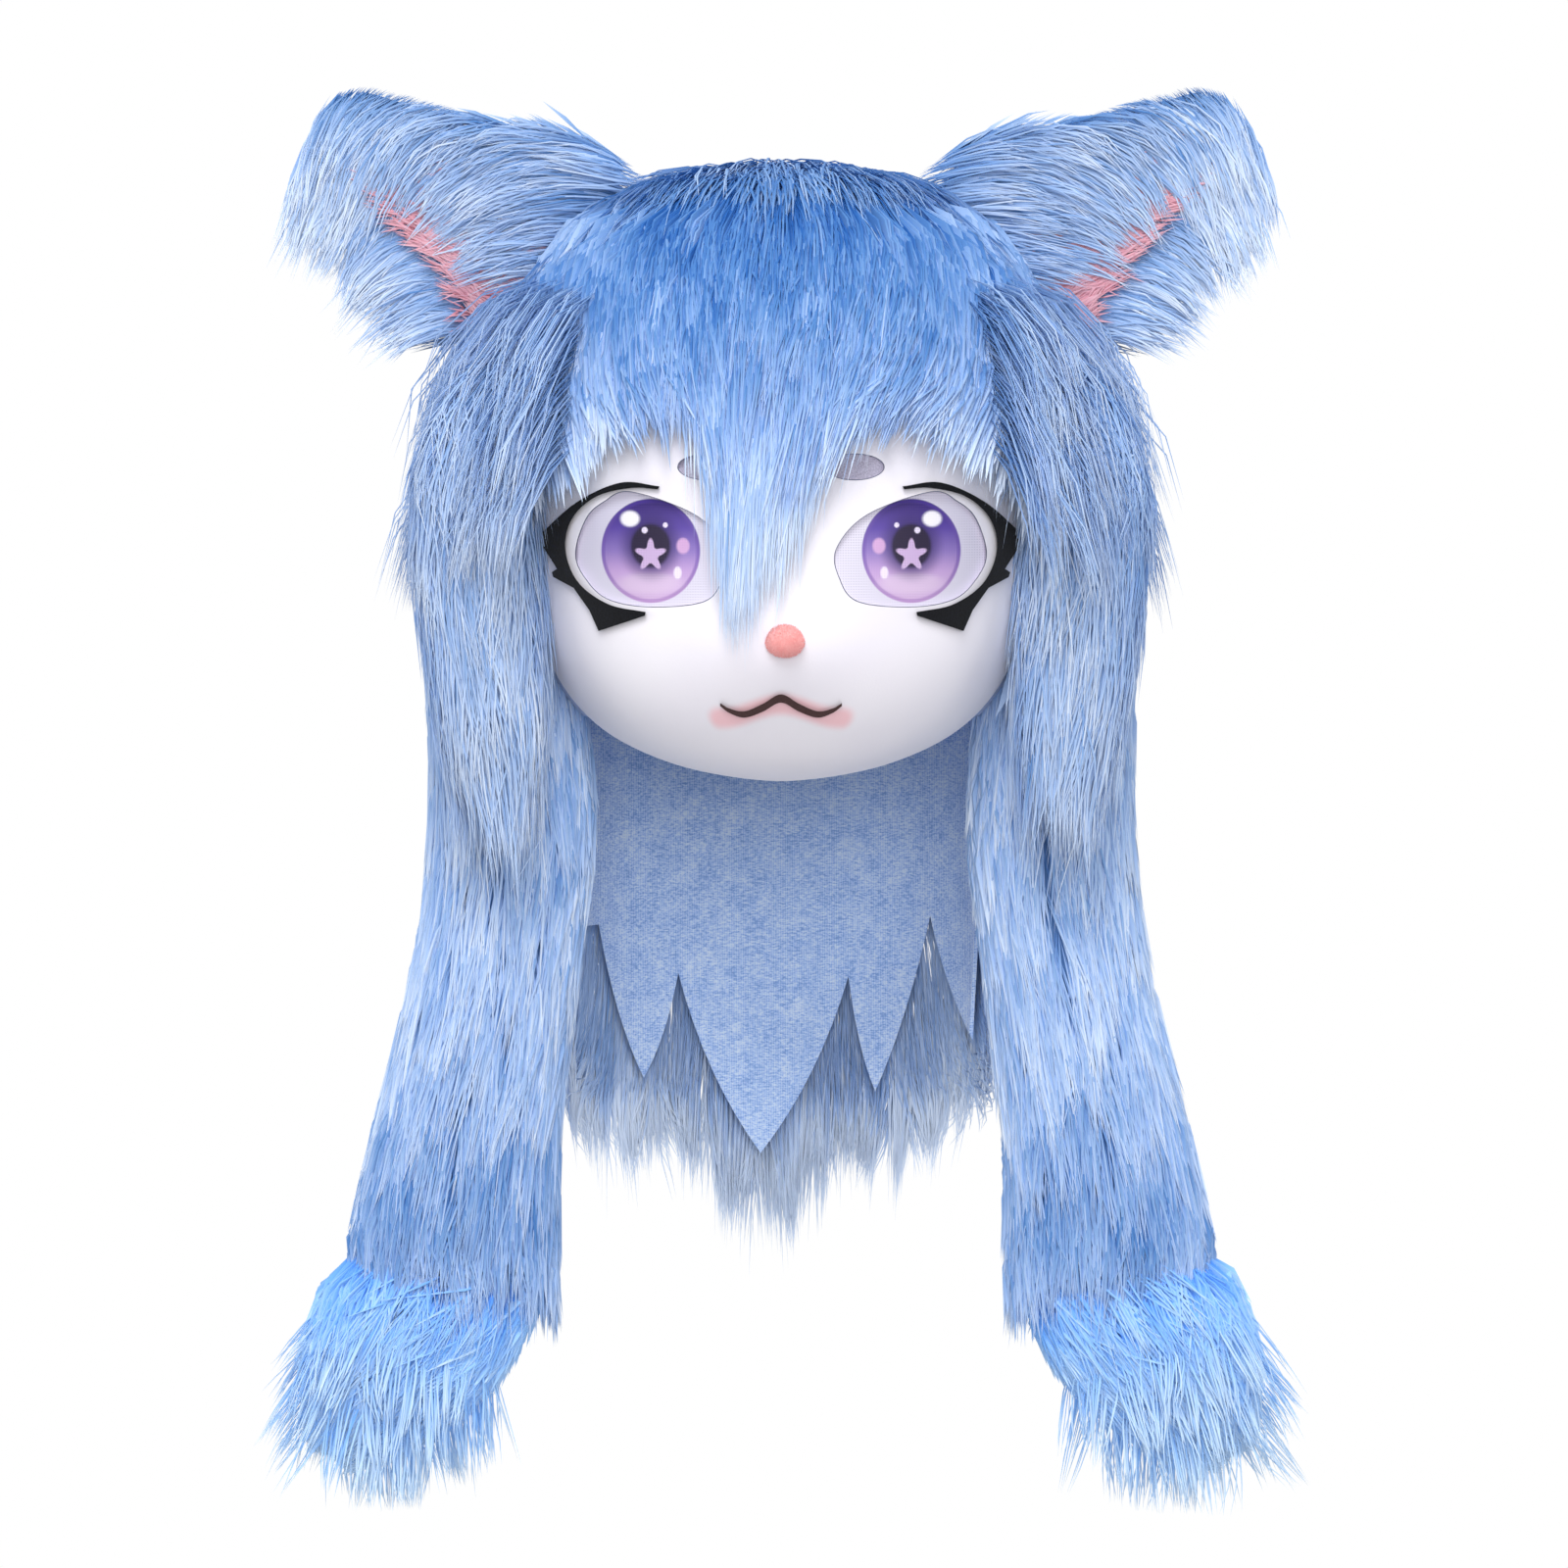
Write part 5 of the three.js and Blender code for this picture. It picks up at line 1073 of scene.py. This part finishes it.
def eye_material():
    """Printed polyester screen: an iris on white, with the screen's holes as a fine grid of darker dots,
    painted shade of the dim inside seen through them.
    """
    material, tree, shader = start_material("printed_polyester_screen", 0.5, 0.0, 0.4)
    coords = add(tree, "TexCoord")
    parts = add(tree, "SeparateXYZ", {0: coords.outputs["Object"]})
    side = add(tree, "Math", {0: parts.outputs["X"]}, operation="ABSOLUTE")
    # Iris space: its middle at 0 and its rim at 1, with x towards the outer corner.
    iris_wide, iris_high, iris_out, iris_down, hole_apart = 0.0248, 0.026, 0.0655, 0.1772, 0.0013
    x = add(tree, "Math", {0: side, 1: 1 / iris_wide, 2: -iris_out / iris_wide},
            operation="MULTIPLY_ADD").outputs[0]
    z = add(tree, "Math", {0: parts.outputs["Z"], 1: 1 / iris_high, 2: iris_down / iris_high},
            operation="MULTIPLY_ADD").outputs[0]
    place = add(tree, "CombineXYZ", {"X": x, "Y": z}).outputs[0]

    def spot(centre, size, edge):
        """1 inside an ellipse and 0 outside it."""
        moved = add(tree, "VectorMath", {0: place, 1: (*centre, 0)}, operation="SUBTRACT")
        scaled = add(tree, "VectorMath", {0: moved, 1: (1 / size[0], 1 / size[1], 0)}, operation="MULTIPLY")
        far = add(tree, "VectorMath", {0: scaled}, operation="LENGTH")
        return add(tree, "MapRange", {
            "Value": far.outputs["Value"], "From Min": 1 - edge, "From Max": 1 + edge, "To Min": 1.0,
            "To Max": 0.0}, interpolation_type="SMOOTHSTEP").outputs["Result"]

    def over(base, colour, factor, strength=1.0):
        if strength < 1:
            factor = add(tree, "Math", {0: factor, 1: strength}, operation="MULTIPLY").outputs[0]
        return add(tree, "Mix", {"Factor": factor, "A": base, "B": colour},
                   data_type="RGBA").outputs["Result"]

    height = add(tree, "MapRange", {"Value": z, "From Min": -1.0, "From Max": 1.0}).outputs["Result"]
    iris = ramp_of(tree, height, [
        (0.0, "#D3B7DA"), (0.3, "#C4A3D6"), (0.5, "#8F78BE"), (0.72, "#5A44A0"), (0.95, "#33206E"),
    ])
    colour = over(linear("#DAD6E6"), iris, spot((0, 0), (1, 1), 0.02))
    rim = ramp_of(tree, height, [(0.0, "#B48FC4"), (0.5, "#7A5FB0"), (1.0, "#3A2486")])
    colour = over(colour, rim, spot((0, 0), (1, 1), 0.02))
    colour = over(colour, iris, spot((0, 0), (0.93, 0.93), 0.03))
    colour = over(colour, linear("#E2CDE6"), spot((0, -0.62), (0.62, 0.2), 0.3), 0.6)
    colour = over(colour, linear("#3A2C6A"), spot((0, 0.12), (0.55, 0.6), 0.35), 0.8)
    colour = over(colour, linear("#241B33"), spot((0, 0.1), (0.4, 0.42), 0.12))
    turn = add(tree, "VectorMath", {0: place, 1: (0.0, -0.08, 0)}, operation="SUBTRACT").outputs[0]
    star_parts = add(tree, "SeparateXYZ", {0: turn})
    around = add(tree, "Math", {0: star_parts.outputs["X"], 1: star_parts.outputs["Y"]}, operation="ARCTAN2")
    five = add(tree, "Math", {0: around, 1: 5.0}, operation="MULTIPLY")
    petal = add(tree, "Math", {0: five}, operation="COSINE")
    point = add(tree, "MapRange", {"Value": petal, "From Min": -1.0, "From Max": 1.0})
    sharp = add(tree, "Math", {0: point, 1: 1.7}, operation="POWER")
    star_reach = add(tree, "Math", {0: sharp, 1: 0.16, 2: 0.16}, operation="MULTIPLY_ADD")
    far = add(tree, "VectorMath", {0: turn}, operation="LENGTH")
    share = add(tree, "Math", {0: far.outputs["Value"], 1: star_reach}, operation="DIVIDE")
    star = add(tree, "MapRange", {"Value": share, "From Min": 0.92, "From Max": 1.08, "To Min": 1.0,
               "To Max": 0.0}).outputs["Result"]
    colour = over(colour, linear("#CDB2DB"), star)
    for centre, size, code in (
        ((0.42, 0.62), (0.19, 0.15), "#FBF8FF"), ((-0.3, 0.5), (0.05, 0.05), "#E8DDF6"),
        ((0.12, 0.4), (0.06, 0.06), "#E8DDF6"), ((-0.66, 0.1), (0.13, 0.15), "#D3A9D6"),
        ((-0.55, -0.42), (0.08, 0.12), "#EFE3F6"),
    ):
        colour = over(colour, linear(code), spot(centre, size, 0.25))
    # The screen's holes lie in rows and columns. They are drawn as darker dots, painted shade of the dim
    # inside seen through them.
    grid = add(tree, "VectorMath", {0: coords.outputs["Object"], 1: (1 / hole_apart, 0, 1 / hole_apart)},
               operation="MULTIPLY")
    dots = add(tree, "TexVoronoi", {"Vector": grid, "Scale": 1.0, "Randomness": 0.0})
    hole_shade = add(tree, "MapRange", {"Value": dots.outputs["Distance"], "From Min": 0.2, "From Max": 0.34,
               "To Min": 1.0, "To Max": 0.0}).outputs["Result"]
    colour = over(colour, linear("#5B4D7A"), hole_shade, 0.35)
    tree.links.new(colour, shader.inputs["Base Color"])
    return material


def flocked(mesh, material, **sizes):
    """Short fibres set upright at random over a surface, each a three-sided cone."""
    tree = bpy.data.node_groups.new("flock_fibres", "GeometryNodeTree")
    inputs = {}
    for name, kind in (("Geometry", "Geometry"), ("Fibre Length", "Float"), ("Fibre Radius", "Float"),
                       ("Density", "Float"), ("Seed", "Int"), ("Material", "Material")):
        inputs[name] = tree.interface.new_socket(name, in_out="INPUT", socket_type="NodeSocket" + kind)
    tree.interface.new_socket("Geometry", in_out="OUTPUT", socket_type="NodeSocketGeometry")
    given = add(tree, "NodeGroupInput").outputs
    spots = add(tree, "GeometryNodeDistributePointsOnFaces", {
        "Mesh": given["Geometry"], "Density": given["Density"], "Seed": given["Seed"]})
    fibre = add(tree, "GeometryNodeMeshCone", {
        "Vertices": 3, "Radius Top": 0.0, "Radius Bottom": given["Fibre Radius"],
        "Depth": given["Fibre Length"]})
    upright = add(tree, "GeometryNodeInstanceOnPoints", {
        "Points": spots.outputs["Points"], "Instance": fibre.outputs["Mesh"],
        "Rotation": spots.outputs["Rotation"]})
    fibres = add(tree, "GeometryNodeRealizeInstances", {0: upright})
    both = add(tree, "GeometryNodeJoinGeometry", {0: fibres})
    tree.links.new(given["Geometry"], both.inputs[0])
    coloured = add(tree, "GeometryNodeSetMaterial", {0: both, "Material": given["Material"]})
    add(tree, "NodeGroupOutput", {"Geometry": coloured})
    body = new_object("body", mesh)
    step = body.modifiers.new("flock", "NODES")
    step.node_group = tree
    for name, value in {**sizes, "Material": material}.items():
        step[inputs[name].identifier] = value
    graph = bpy.context.evaluated_depsgraph_get()
    made = bpy.data.meshes.new_from_object(body.evaluated_get(graph))
    body.modifiers.remove(step)
    bpy.data.objects.remove(body)
    return made


def make_nose():
    flock = cloth_material("flocked_nose_pink", "#F09C9C", "#F6B3B0", 1600.0, 0.7, 0.95, 0.6)
    shape = bmesh.new()
    bmesh.ops.create_icosphere(shape, subdivisions=5, radius=1.0)
    seat = face_point(np.array(NOSE_SIDE), np.array(level(NOSE_DROP)))
    for vert in shape.verts:
        p = vert.co
        squash = 1 - 0.12 * p.z * (p.x ** 2)
        vert.co = Vector((p.x * NOSE_WIDE / 2 * squash, p.y * NOSE_DEEP / 2, p.z * NOSE_HIGH / 2)) * MM
        vert.co += Vector(seat) * MM
    mesh = bpy.data.meshes.new("nose")
    shape.to_mesh(mesh)
    shape.free()
    mesh = smooth_faces(carve(mesh, head_skin(PIECE_GAP, 90, 60)))
    # Flock of 0.9 mm fibres, drawn thicker and fewer than the real ones so that it shows.
    mesh = flocked(mesh, flock, **{"Fibre Length": 0.9 * MM, "Fibre Radius": 0.13 * MM, "Density": 2.6e6,
                                   "Seed": 7})
    place_piece("nose_flock", mesh, flock, "nose_flock", "nose")


def make_studio():
    """A pale floor far below the hanging piece, a bright even room and a long lens from the front."""
    floor = bpy.data.meshes.new("floor")
    turn = np.linspace(0, 2 * PI, 64, endpoint=False)
    points = np.stack([0.8 * np.cos(turn), 0.8 * np.sin(turn), np.full(64, -1.6)], axis=1)
    floor.from_pydata(points.tolist(), [], [tuple(range(64))])
    pale, _, shader = start_material("studio_floor_paint", 0.8)
    shader.inputs["Base Color"].default_value = linear("#FAFAFB")
    floor.materials.append(pale)
    new_object("floor", floor)

    world = bpy.data.worlds.new("studio")
    bpy.context.scene.world = world
    world.use_nodes = True
    tree = world.node_tree
    tree.nodes.clear()
    # The backdrop is white, and lights the piece as a dimmer room.
    path = add(tree, "LightPath")
    strength = add(tree, "MapRange", {"Value": path.outputs["Is Camera Ray"], "To Min": 0.42, "To Max": 1.0})
    sky = add(tree, "Background", {"Color": (1, 1, 1, 1), "Strength": strength.outputs["Result"]})
    add(tree, "OutputWorld", {"Surface": sky})
    for name, place, size, power in (
        ("key", (-0.4, -2.3, 2.3), 1.6, 74), ("front", (0.3, -3.2, 0.3), 2.2, 46),
        ("back", (0.0, 2.4, 1.8), 2.0, 40), ("left", (2.6, 0.2, 0.4), 1.6, 24),
        ("right", (-2.6, 0.2, 0.4), 1.6, 24),
    ):
        light = bpy.data.lights.new(name, "AREA")
        light.size, light.energy = size, power
        lamp = new_object(name, light)
        lamp.location = place
        aim = Vector((0, 0, -0.3)) - Vector(place)
        lamp.rotation_euler = aim.to_track_quat("-Z", "Y").to_euler()

    camera = bpy.data.cameras.new("camera")
    view = new_object("camera", camera)
    distance, framed, elevation = 8.0, 0.8, math.radians(1.5)
    camera.sensor_width = 36.0
    camera.lens = camera.sensor_width * distance / framed
    camera.clip_end = 100
    aim = Vector((0.0015, 0.0, -0.2975))
    view.location = aim + Vector((0, -math.cos(elevation), math.sin(elevation))) * distance
    view.rotation_euler = (aim - view.location).to_track_quat("-Z", "Y").to_euler()
    bpy.context.scene.camera = view
    bpy.context.scene.view_settings.view_transform = "Standard"


make_studio()
blue_fur = fur_material("dyed_acrylic_pile_blue", FUR_BLUES)
paw_fur = fur_material("dyed_acrylic_pile_bright_blue", PAW_BLUES)
pink_fur = fur_material("dyed_acrylic_pile_pink", PINK_PLUSH)
make_mask()
make_hood()
make_face_trims()
make_nose()
make_jersey()
make_crown(blue_fur)
make_bangs(blue_fur)
make_limbs(blue_fur, paw_fur)
make_ears(blue_fur, pink_fur)
make_nape(blue_fur)
